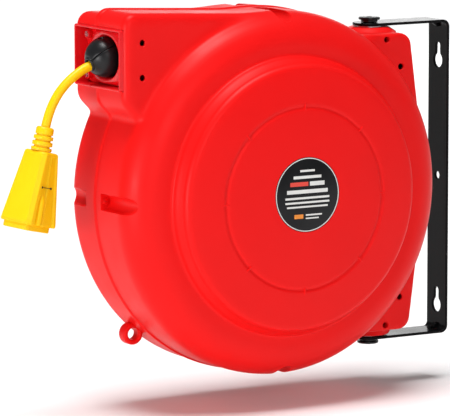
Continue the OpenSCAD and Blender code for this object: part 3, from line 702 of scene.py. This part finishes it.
# Long screws through the rim: pan heads on the channels' seats, painted like the case.
back = -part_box("rim_screws")[1].y / MM
prof = [(0, back), (1.7, back), (2.0, back + 0.4), (2.0, 15.05), (3.3, 15.05), (3.4, 15.5),
        (3.0, 16.3), (1.9, 16.8), (0, 16.9)]
places = [(SCREW_R * math.cos(a), SCREW_R * math.sin(a)) for a in RIM_ANGLES]
screws = [in_world(moved(lathe_open(prof, 32), (u, v, 0))) for u, v in places]
rim_ob = make("rim_long_screws", *merge(screws), CASE, None)
cut(rim_ob, [crate(u - 2, u + 2, v - 0.4, v + 0.4, 15.9, 18) for u, v in places])
finish_mesh(rim_ob, 35)
settle(rim_ob, "case", ["rim_screws"])

screw_wells("front_screw_wells", front_profile(), 1, 0)
screw_wells("rear_screw_wells", rear_profile(), -1, REAR_OUT)


def on_pivot(part, end, y=0.0):
    """A part in millimetres on the swivel axis: end 1 is the top, -1 below; y is in metres."""
    return moved(part, (PIVOT.x, y, 0), z=(0, 0, end), scale=MM)


# Half-cones round the two swivel bolts, one half on each shell.
BOSS_END, BOSS_GAP = 166.5, 0.0002
for side, name in ((-1, "front"), (1, "rear")):
    parts = []
    for end in (-1, 1):
        base = EAR_TOP + end * DRUM.z / MM - 1
        prof = [(4.3, base - 6), (28.6, base - 6), (28.6, base), (27.4, base + 0.9),
                (22.6, BOSS_END - 1.2), (21.4, BOSS_END - 0.3), (20.4, BOSS_END), (4.9, BOSS_END),
                (4.3, BOSS_END - 0.6)]
        parts.append(on_pivot(lathe(prof, 48, 180, 180 if side < 0 else 0), end, side * BOSS_GAP))
    make(name + "_swivel_bosses", *merge(parts), CASE, "case", slot="case_red")

# The eye for a hook.
section = rounded([(6.3, -6.5), (11.6, -6.5), (11.6, 6.5), (6.3, 6.5)], 2.2, 4)
make("tie_eye", *in_world(moved(lathe(section, 56), TIE_EYE)), CASE, "case", slot="case_red")


# ---------- wall bracket ----------

STRIP_W, STRIP_T = 36.0, 3.0
KEYHOLES_Z = (125.6, -142.4)
HALF_H = (WALL_HI.z - WALL_LO.z) / 2 / MM
BEND_R = 8.0
REACH = -PIVOT.x / MM
ARM_END = -REACH - STRIP_W / 2
outer_path = [(ARM_END, -HALF_H)] + bow((-BEND_R, -HALF_H + BEND_R), BEND_R, -90, 0, 10)
outer_path += bow((-BEND_R, HALF_H - BEND_R), BEND_R, 0, 90, 10) + [(ARM_END, HALF_H)]
inner_path = ([(ARM_END, HALF_H - STRIP_T)]
              + bow((-BEND_R, HALF_H - BEND_R), BEND_R - STRIP_T, 90, 0, 8))
inner_path += (bow((-BEND_R, -HALF_H + BEND_R), BEND_R - STRIP_T, 0, -90, 8)
               + [(ARM_END, -HALF_H + STRIP_T)])
strip = moved(prism(outer_path + inner_path, -STRIP_W / 2, STRIP_W / 2), ORIGIN, **FACING_MM)
bracket = make("bracket_strip", *strip, BRACKET, None)


def along_x(outline, x0, x1):
    """A prism whose outline lies in Y and Z, in millimetres."""
    return moved(prism(outline, x0, x1), ORIGIN, **ALONG_U, scale=MM)


def along_z(outline, z0, z1):
    """A prism whose outline lies in X and Y, in millimetres."""
    return moved(prism(outline, z0, z1), ORIGIN, scale=MM)


def keyhole(cz):
    """A round hole with a narrow slot above it, round height cz."""
    pts = (bow((0, 0), 8, 125, 415, 26) + [(3.95, 9.2)] + bow((0, 15.8), 3.9, 0, 180, 10)
           + [(-3.95, 9.2)])
    return [(y, cz + z) for y, z in pts]


cutters = [along_x(keyhole(cz), -6, 3) for cz in KEYHOLES_Z]
cutters.append(along_x(bow((0, 0), 4.2, 0, 350, 35), -6, 3))
end_cut = [(-REACH, 18), (-REACH, 20), (-REACH - 22, 20), (-REACH - 22, -20), (-REACH, -20),
           (-REACH, -18)]
end_cut += bow((-REACH, 0), 18, 270, 90, 28)[1:-1]
for z0, z1 in ((-HALF_H - 2, -HALF_H + 5), (HALF_H - 5, HALF_H + 2)):
    cutters.append(along_z(end_cut, z0, z1))
    cutters.append(along_z(bow((-REACH, 0), 6.05, 0, 350, 35), z0, z1))
cut(bracket, cutters)
bev = bracket.modifiers.new("edges", "BEVEL")
bev.width = 0.0006
bev.segments = 2
bev.limit_method = "ANGLE"
bev.angle_limit = math.radians(50)
finish_mesh(bracket, 40)
settle(bracket, "bracket", ["wall_bracket"])

ribs = []
for s in (-1, 1):
    z = s * (HALF_H - STRIP_T + 0.3)
    tri = rounded([(-STRIP_T + 0.3, z), (-STRIP_T - 9, z), (-STRIP_T + 0.3, z - s * 9)],
                  [0, 2, 2], 3)
    if s < 0:
        tri = tri[::-1]
    ribs.append(moved(prism(tri, -2.8, 2.8, 1.2), ORIGIN, **FACING_MM))
make("bracket_corner_ribs", *merge(ribs), BRACKET, "bracket", slot="bracket_black")

bolts, hexes = [], []
for end in (-1, 1):
    prof = [(0, HALF_H + 5.8), (10.6, HALF_H + 5.8), (11.3, HALF_H + 5.5), (11.5, HALF_H + 4.9),
            (11.5, HALF_H + 3.5), (11.2, HALF_H + 3.05), (4, HALF_H + 3.0), (4, 132.5),
            (3.6, 132), (0, 132)]
    bolts.append(on_pivot(lathe_open(prof[::-1], 56), end))
    hexes.append(on_pivot(prism(circle(3.5, 6), HALF_H + 3.6, HALF_H + 9), end))
bolt_ob = make("swivel_bolts", *merge(bolts), BLACK_STEEL, None)
cut(bolt_ob, hexes)
finish_mesh(bolt_ob, 35)
settle(bolt_ob, "case", ["pivot_bolts"])

collars = []
lo = HALF_H - STRIP_T
for end in (-1, 1):
    prof = [(4.05, lo - 0.4), (6, lo - 0.4), (6, HALF_H + 0.4), (8.6, HALF_H + 0.4),
            (9, HALF_H + 0.8), (9, HALF_H + 2.6), (8.6, HALF_H + 3.0), (4.05, HALF_H + 3.0)]
    collars.append(on_pivot(lathe(prof, 48), end))
make("swivel_collars", *merge(collars), BLACK_STEEL, "case", replaces=["pivot_bushings"],
     slot="black_steel")

# ---------- mouth frame and guide ----------

FRAME_U = (FRAME_LO.x - DRUM.x) / MM
FRAME_BACK = (FRAME_HI.x - DRUM.x) / MM
FRAME_HALF_W, FRAME_HALF_V, FRAME_CORNER = 47.0, 31.7, 3.0
rings = []
for inset, u in ((0, FRAME_BACK), (0, FRAME_U + 1.2), (0.25, FRAME_U + 0.35), (0.9, FRAME_U),
                 (1.6, FRAME_U), (2.15, FRAME_U + 0.35), (2.4, FRAME_U + 1.2), (2.4, FRAME_BACK)):
    pts = round_rect(FRAME_HALF_W - inset, FRAME_HALF_V - inset, FRAME_CORNER - inset)
    rings.append([(u, MOUTH_LINE + b, MOUTH_W + a) for a, b in pts])
make("mouth_bezel", *in_world(loft_round(rings)), FRAME_RED, "case", replaces=["mouth_frame"],
     slot="case_red")

GUIDE_FRONT, GUIDE_BACK = -184.0, -174.5


def boundary(theta, hx, hy, r):
    """Distance along a ray from the centre to a rounded rectangle."""
    lo, hi = 0.0, 80.0
    for _ in range(26):
        mid = (lo + hi) / 2
        x, y = abs(mid * math.cos(theta)), abs(mid * math.sin(theta))
        dx, dy = x - (hx - r), y - (hy - r)
        d = math.hypot(max(dx, 0), max(dy, 0)) + min(max(dx, dy), 0) - r
        lo, hi = (mid, hi) if d < 0 else (lo, mid)
    return lo


STEPS = 120
PLATE = -177.5
theta = np.arange(STEPS) * 2 * math.pi / STEPS
edge = np.array([boundary(t, 44.0, 28.9, 9) for t in theta])
# The hole is longer toward the reel's front, and a rounded bead surrounds it.
hole = 20.6 + 7.5 * np.maximum(0, np.cos(theta)) ** 2
crest = hole + 4.4
foot = hole + np.minimum(14, 0.95 * (edge - hole))
quarter = np.radians([0, 12, 24, 36, 48, 60, 70, 80, 90])
stations = [(edge, GUIDE_BACK), (edge, PLATE)]
stations += [(foot - (foot - crest) * (1 - np.cos(a)), PLATE + (GUIDE_FRONT - PLATE) * np.sin(a))
             for a in quarter]
stations += [(crest - (crest - hole) * np.sin(a),
              GUIDE_BACK - 0.5 + (GUIDE_FRONT - GUIDE_BACK + 0.5) * np.cos(a)) for a in quarter[1:]]
stations.append((hole, GUIDE_BACK))
rings = []
for d, u in stations:
    rings.append(list(zip([u] * STEPS, MOUTH_LINE + d * np.sin(theta),
                          MOUTH_W + d * np.cos(theta))))
POSTS_AT = [(0, MOUTH_LINE + sv * 21, MOUTH_W + sw * 36) for sv in (-1, 1) for sw in (-1, 1)]
posts = [moved(prism(circle(4.7, 32), GUIDE_FRONT + 0.6, PLATE + 1, 0.5), at, **ALONG_U)
         for at in POSTS_AT]
guide = make("cord_guide", *in_world(merge([loft_round(rings)] + posts)), GUIDE, None)
cutters = [in_world(moved(rod_part(3.3, GUIDE_FRONT - 3, GUIDE_FRONT + 2.2, 32), at, **ALONG_U))
           for at in POSTS_AT]
cut(guide, cutters)
finish_mesh(guide, 40)
settle(guide, "case", ["mouth_funnel"])

# ---------- ball stop ----------

BALL_C = np.array([-182.0, MOUTH_LINE, MOUTH_W])
BALL_R = 21.0
TILT, ROLL_BALL = math.radians(20), math.radians(-35)


def turn_about(axis, a):
    """The matrix of a turn by a about axis 0, 1 or 2."""
    i, j = (axis + 1) % 3, (axis + 2) % 3
    m = np.eye(3)
    m[i, i] = m[j, j] = math.cos(a)
    m[j, i], m[i, j] = math.sin(a), -math.sin(a)
    return m


BALL_AXES = turn_about(2, TILT) @ turn_about(0, ROLL_BALL)


def in_ball(part):
    """A part from the ball stop's own frame to the row frame."""
    v, f = part
    return to_world(np.asarray(v, float) @ BALL_AXES.T + BALL_C), f


for up, name in ((1, "upper"), (-1, "lower")):
    prof = [(0, BALL_R)] + [(BALL_R * math.cos(a), BALL_R * math.sin(a))
                            for a in np.radians(np.linspace(86, 4, 26))]
    prof += [(BALL_R - 0.12, 0.75), (BALL_R - 0.45, 0.36), (BALL_R - 1.0, 0.16), (0, 0.12)]
    half = moved(lathe_open(prof[::-1], 72), ORIGIN, y=(0, 0, -up), z=(0, up, 0))
    ob = make("ball_" + name + "_half", *in_ball(half), BALL, None)
    tools = [in_ball(moved(rod_part(4.95, -1, 40), ORIGIN, **ALONG_CORD)),
             in_world(moved(rod_part(5.4, 0, 40), BALL_C, **ALONG_U)),
             in_ball(moved(rod_part(30, 19.0, 30, 24), ORIGIN, **ALONG_CORD))]
    if up > 0:
        tools += [in_ball(moved(rod_part(3.3, 7, 30), (2, 0, s * 12.5), y=(0, 0, -1), z=(0, 1, 0)))
                  for s in (-1, 1)]
    # One at a time: an exact boolean fails on tools that overlap.
    for tool in tools:
        cut(ob, [tool])
    finish_mesh(ob, 35)
    settle(ob, "cord_end", ["ball_" + name])

# A raised collar where the cord leaves the ball.
ring = [(5.05 + 1.5 - 1.5 * math.cos(a), 19.2 + 1.6 * math.sin(a))
        for a in np.linspace(0, 2 * math.pi, 15)[:-1]]
collar = moved(lathe(ring, 40), ORIGIN, **ALONG_CORD)
make("ball_cord_collar", *in_ball(collar), BALL, "cord_end", slot="ball_black")

# ---------- free cord, strain relief and connector ----------


def catmull(points, per=8):
    """A smooth curve through 2D points."""
    p = [np.array(q, float) for q in points]
    p = [2 * p[0] - p[1]] + p + [2 * p[-1] - p[-2]]
    out = []
    for i in range(1, len(p) - 2):
        for k in range(per):
            t = k / per
            a, b, c, d = p[i - 1], p[i], p[i + 1], p[i + 2]
            out.append(0.5 * ((2 * b) + (c - a) * t + (2 * a - 5 * b + 4 * c - d) * t * t
                              + (3 * b - a - 3 * c + d) * t ** 3))
    out.append(p[-2])
    return out


def tube(path, r, n=20, cap=True):
    """A round tube along 3D points, in metres, with frames carried along the path."""
    path = np.array(path, float)
    tang = np.gradient(path, axis=0)
    tang /= np.linalg.norm(tang, axis=1)[:, None]
    side = np.cross(tang[0], (0, 1, 0.01))
    if np.linalg.norm(side) < 0.2:
        side = np.cross(tang[0], (1, 0, 0))
    side /= np.linalg.norm(side)
    rings = []
    for p, t in zip(path, tang):
        side = side - t * (side @ t)
        side /= np.linalg.norm(side)
        up = np.cross(t, side)
        rings.append([tuple(p + r * (math.cos(a) * side + math.sin(a) * up))
                      for a in np.linspace(0, 2 * math.pi, n + 1)[:-1]])
    return loft(rings, cap=cap)


curve = [(p[0], MOUTH_Y, p[1]) for p in catmull(ROUTE, 6)]
v, f = tube(curve, CORD_D / 2, 28)
cord = make("mains_cord", v, f, CORD_YELLOW, "cord_end", replaces=["free_cord"], slot="cord_yellow")

TIP = np.array(curve[-1])
PLUG_AXES = turn_about(1, PLUG_TILT)
BODY_AXES = PLUG_AXES @ turn_about(2, PLUG_TURN)


def at_tip(part, axes=PLUG_AXES, drop=0.0):
    """A part in millimetres, Z back along the cord, placed at the cord's end."""
    v, f = part
    v = np.asarray(v, float).copy()
    v[:, 2] -= drop
    return v * MM @ axes.T + TIP, f


def bead(r, z0, z1, e=0.6):
    """A rib of the strain relief: a profile with its corners rounded by e."""
    return [(r - e, z0), (r - e * 0.3, z0 + e * 0.3), (r, z0 + e), (r, z1 - e),
            (r - e * 0.3, z1 - e * 0.3), (r - e, z1)]


prof = [(4.6, -25), (10.2, -25)] + bead(10.8, -24.6, -21.4)
prof += [(8.3, -21.2), (8.2, -19.8)] + bead(10.6, -19.6, -15.2)
prof += [(8.1, -15.0), (8.0, -13.6)] + bead(10.2, -13.4, -9.4) + [(7.8, -9.2), (7.8, -8.2)]
prof += [(8.8, -8.0), (9.3, -7.6), (9.3, -2.4), (8.4, -0.8), (6.9, -0.1), (5.3, 0.0), (4.8, -0.5)]
relief = make("cord_strain_relief", *at_tip(lathe(prof, 48)), CORD_YELLOW, "cord_end",
              replaces=["strain_relief"], slot="cord_yellow")

DROP = 25.2
BODY_LEN = 76.0
CHAMFER, RECESS, CORNER = 4.6, 1.9, 2.2


def half_sizes(t):
    """The connector's reach to the right, the left and either face: t is 0 at its top, 1 below."""
    return 13.5 + 11.5 * t, 9.5 + 11.5 * t, 14.2 + 5.8 * t


def body_section(t, inset=0.0, depth=1.0):
    """The connector's outline at height t, 0 at the top and 1 at the bottom, anticlockwise."""
    reach_right, reach_left, reach_face = half_sizes(t)
    x1, y1 = reach_right - inset, reach_face - inset
    x0, y0 = -(reach_left - inset), -y1
    ch = CHAMFER
    w = (x1 - CORNER) - (x0 + ch)
    d = RECESS * depth

    def fx(q):
        return x0 + ch + w * q

    low = [(fx(0), y0), (fx(0.10), y0), (fx(0.15), y0 + d), (fx(0.44), y0 + d),
           (fx(0.48), y0 + 0.3 * d), (fx(0.56), y0 + 0.3 * d), (fx(0.60), y0 + d),
           (fx(0.88), y0 + d), (fx(0.93), y0), (fx(1.0), y0)]
    right = [(x1, y0 + CORNER), (x1, y0 + 0.35 * (y1 - y0)), (x1 - d, y0 + 0.38 * (y1 - y0)),
             (x1 - d, y0 + 0.62 * (y1 - y0)), (x1, y0 + 0.65 * (y1 - y0)), (x1, y1 - CORNER),
             (x1 - 0.7, y1 - 0.7)]
    top = [(x1 - CORNER, y1), (x0 + CORNER, y1), (x0 + 0.7, y1 - 0.7)]
    left = [(x0, y1 - CORNER), (x0, y0 + ch), (x0 + 0.2, y0 + ch - 0.8), (x0 + ch - 0.8, y0 + 0.2)]
    return low + right + top + left


LEVELS = [(0, 2.4, 0.0), (0.004, 1.2, 0.0), (0.012, 0.45, 0.1), (0.028, 0, 0.2), (0.05, 0, 0.5),
          (0.09, 0, 1)]
LEVELS += [(t, 0, 1) for t in (0.2, 0.35, 0.5, 0.65, 0.8, 0.93)]
LEVELS += [(0.975, 0.1, 1), (0.992, 0.6, 1), (1.0, 1.6, 1)]
rings = [[(x, y, -BODY_LEN * t) for x, y in body_section(t, inset, depth)]
         for t, inset, depth in LEVELS]
parts = [loft(rings[::-1])]


def face_point(q, t, out=0.0):
    """A point on the shaded side: q across it, t down it, out millimetres proud of the recess."""
    right, left, face = half_sizes(t)
    width = right - CORNER + left - CHAMFER
    return np.array([CHAMFER - left + width * q, RECESS - face - out, -BODY_LEN * t])


RIB_Q, DOT_Q, DOTS_T = (0.31, 0.79), (0.20, 0.72), 0.475
SLOTS_Y = (-6.5, 6.5)
# The axes that lay a part's own Z out of the connector's shaded side.
OUT_OF_FACE = {"x": (1, 0, 0), "y": (0, 0, 1), "z": (0, -1, 0)}
for q in RIB_Q:
    spine = [face_point(q, t, 0.2) for t in np.linspace(0.57, 0.985, 12)]
    radii = [0.5, 2.4, 3.5, 4.0] + [4.2] * 8
    rib = [[(p[0] + x, p[1] + 0.8 * y, p[2]) for x, y in circle(r, 20)]
           for p, r in zip(spine, radii)]
    parts.append(loft(rib[::-1]))
body = make("connector_shell", *at_tip(merge(parts), BODY_AXES, DROP), PLUG_YELLOW, None)
slit = prism([(-4, -1), (4, -1), (4, 1), (-4, 1)], -4, 4)
slits = [moved(slit, (22.3, y, -59.5), **ALONG_CORD) for y in SLOTS_Y]
cut(body, [at_tip(part, BODY_AXES, DROP) for part in slits])
finish_mesh(body, 30)
settle(body, "cord_end", ["connector_body"])

# Two near-black dots joined by a thin near-black line, on the shaded side.
marks = [moved(rod_part(1.25, -0.6, 0.12, 20), face_point(q, DOTS_T, 0.12), **OUT_OF_FACE)
         for q in DOT_Q]
a, b = (face_point(q, DOTS_T) for q in DOT_Q)
low, high = a[2] - 0.28, a[2] + 0.28
line = prism([(a[0], low), (b[0], low), (b[0], high), (a[0], high)], -0.4, 1.45)
marks.append(moved(line, (0, a[1], 0), **OUT_OF_FACE))
make("connector_marks", *at_tip(merge(marks), BODY_AXES, DROP), DARK, "cord_end",
     slot="connector_yellow")

END_FACE, SLOT_FLOOR = -82, -77.5
outline = rounded([(-19, -17), (19, -17), (19, 17), (-19, 17)], 4, 5)
cap = make("connector_end", *at_tip(prism(outline, END_FACE, -75.2, 1.0), BODY_AXES, DROP),
           PLUG_YELLOW, None)
tools = [prism([(-2, y - 1.1), (6, y - 1.1), (6, y + 1.1), (-2, y + 1.1)], END_FACE - 2, SLOT_FLOOR)
         for y in SLOTS_Y]
tools.append(moved(rod_part(2.5, END_FACE - 2, SLOT_FLOOR, 28), (-6, 0, 0)))
cut(cap, [at_tip(part, BODY_AXES, DROP) for part in tools])
finish_mesh(cap, 35)
settle(cap, "cord_end", ["connector_cap"])

# Eight short moulded ticks across the plateau's ring.
ticks = []
for k in range(8):
    a = math.pi * k / 4
    d, n = np.array([math.cos(a), math.sin(a)]), np.array([-math.sin(a), math.cos(a)])
    r0, r1 = GROOVE_R - 4.5, GROOVE_R + 5
    corners = [d * r + n * s for r, s in ((r0, -0.7), (r1, -0.7), (r1, 0.7), (r0, 0.7))]
    ticks.append(in_world(prism(corners, 100, dome(GROOVE_R + 6) + 0.9, 0.4)))
make("ring_ticks", *merge(ticks), CASE, "case", slot="case_red")

# ---------- label ----------

LABEL_C = ((LABEL_LO.x + LABEL_HI.x) / 2, LABEL_LO.y, (LABEL_LO.z + LABEL_HI.z) / 2)


def on_label(part):
    """Outline X to the right, Y up, Z out of the label."""
    return moved(part, LABEL_C, **FACING_MM)


disc = lathe_open([(0, -0.8), (38.6, -0.8), (39, -0.6), (39, -0.15), (38.7, 0), (0, 0)], 96)
make("label_face", *on_label(disc), LABEL, "case", replaces=["label_disc"], slot="label_black")
rim = lathe([(37.6, -0.1), (38.5, -0.1), (38.5, 0.1), (37.6, 0.1)], 96)
make("label_rim", *on_label(rim), PRINT, "case", slot="label_black")


def bars(name, rows, mat):
    """Plain bars in place of text; a row is left, right, bottom and top."""
    parts = [prism(rounded([(x0, y0), (x1, y0), (x1, y1), (x0, y1)], 0.3, 2), -0.1, 0.09)
             for x0, x1, y0, y1 in rows]
    make(name, *on_label(merge(parts)), mat, "case", slot="label_black")


bars("label_bars", [(-9, 9, 24, 26.2), (-17, 17, 17, 20), (-25, 25, 1.5, 5.5),
                    (-27, 27, -4.4, -2.2), (-27, 27, -9, -7), (-25, 25, -13.4, -11.6),
                    (-2, 18, -22, -20.4), (-2, 14, -25.4, -24), (3, 21, 9.2, 13.6)], PRINT)
bars("label_red_bar", [(-21, 1, 9.2, 13.6)], PRINT_RED)
bars("label_orange_bar", [(-16, -5, -24.6, -20.2)], PRINT_ORANGE)

# ---------- winding, lead-in and mainspring ----------

# Each layer crosses the drum the other way; the outermost ends where the cord leaves.
LAYER_R = [MOUTH_LINE - CORD_MM * k for k in (3, 2, 1, 0)]
PITCH, W_LOW, W_HIGH = 9.8, -17.4, 41.4
TURNS = [6.3, 7.0, 7.0, (W_HIGH - MOUTH_W) / PITCH]
STEPS_A_TURN, CLIMB = 28, 0.15
total_turns = sum(TURNS)
path = []
wound = 0.0
for layer, turns in enumerate(TURNS):
    last = layer == len(TURNS) - 1
    for i in range(int(turns * STEPS_A_TURN)):
        n = i / STEPS_A_TURN
        run = min(n * (PITCH if last else PITCH * 6 / (turns - 1)), W_HIGH - W_LOW)
        w = W_LOW + run if layer % 2 == 0 else W_HIGH - run
        r = LAYER_R[layer]
        if not last and turns - n < CLIMB:
            r += CORD_MM * (1 - (turns - n) / CLIMB)
        a = math.radians(90) + 2 * math.pi * (wound + n - total_turns)
        path.append((r * math.cos(a), r * math.sin(a), w))
    wound += turns
path.append((0, MOUTH_LINE, MOUTH_W))
v, f = tube(to_world(path), CORD_D / 2, 10)
make("cord_turns", v, f, CORD_YELLOW, "spool", smooth=80, replaces=["cord_winding"],
     slot="cord_yellow")

lead = np.stack([np.linspace(LEAD_LO.x, LEAD_HI.x, 40), np.full(40, MOUTH_Y),
                 np.full(40, (LEAD_LO.z + LEAD_HI.z) / 2)], 1)
v, f = tube(lead, CORD_D / 2, 20)
make("lead_in", v, f, CORD_YELLOW, "cord_end", smooth=60, replaces=["lead_in_cord"],
     slot="cord_yellow")

SPRING_LO, SPRING_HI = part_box("mainspring")
w0, w1 = -SPRING_HI.y / MM, -SPRING_LO.y / MM
COIL_TURNS, COIL_STEPS, COIL_IN, COIL_OUT, COIL_T = 17, 40, 13.4, 91.0, 0.9
rings = []
for i in range(COIL_TURNS * COIL_STEPS + 1):
    a = 2 * math.pi * i / COIL_STEPS
    r0 = COIL_IN + (COIL_OUT - COIL_IN) * i / (COIL_TURNS * COIL_STEPS)
    rings.append([(math.cos(a) * r, math.sin(a) * r, w)
                  for r, w in ((r0, w0), (r0 + COIL_T, w0), (r0 + COIL_T, w1), (r0, w1))])
v, f = loft(rings)
make("mainspring_coil", to_world(v), f, SPRING_BLUE, "spool", smooth=40, replaces=["mainspring"],
     slot="spring_steel")


# ---------- studio ----------

def plain(name, colour, rough):
    """The floor's even surface."""
    m = bpy.data.materials.new(name)
    m.use_nodes = True
    b = m.node_tree.nodes["Principled BSDF"]
    b.inputs["Base Color"].default_value = (*colour, 1)
    b.inputs["Roughness"].default_value = rough
    return m


FLOOR_Z = -0.222
LEFT, RIGHT, NEAR, FAR = -14, 12, -8, 22
corners = [(LEFT, NEAR, FLOOR_Z), (RIGHT, NEAR, FLOOR_Z), (RIGHT, FAR, FLOOR_Z),
           (LEFT, FAR, FLOOR_Z)]
me = bpy.data.meshes.new("floor")
me.from_pydata(corners, [], [(0, 1, 2, 3)])
floor = bpy.data.objects.new("floor", me)
scene.collection.objects.link(floor)
me.materials.append(plain("floor_white", (0.95, 0.95, 0.95), 0.9))

LIT = Vector((-0.25, 0, 0))  # the lamps face this place


def lamp(name, energy, size, place):
    """A square lamp that faces the reel."""
    data = bpy.data.lights.new(name, "AREA")
    data.energy = energy
    data.size = size
    ob = bpy.data.objects.new(name, data)
    scene.collection.objects.link(ob)
    ob.location = place
    ob.rotation_euler = (LIT - Vector(place)).to_track_quat("-Z", "Y").to_euler()


sun = bpy.data.lights.new("overhead", "SUN")
sun.energy = 3.1
sun.angle = math.radians(30)
sun_ob = bpy.data.objects.new("overhead", sun)
scene.collection.objects.link(sun_ob)
sun_ob.rotation_euler = (math.radians(4), math.radians(-6), 0)
lamp("key", 44, 1.0, (-3.2, -0.9, 0.05))
lamp("fill", 18, 1.3, (-1.1, -3.05, 1.1))
lamp("back", 9, 1.3, (1.95, 3.1, 0.85))
world = bpy.data.worlds.new("studio")
scene.world = world
world.use_nodes = True
world.node_tree.nodes["Background"].inputs["Color"].default_value = (1, 1, 1, 1)
world.node_tree.nodes["Background"].inputs["Strength"].default_value = 0.18
scene.view_settings.view_transform = "Standard"
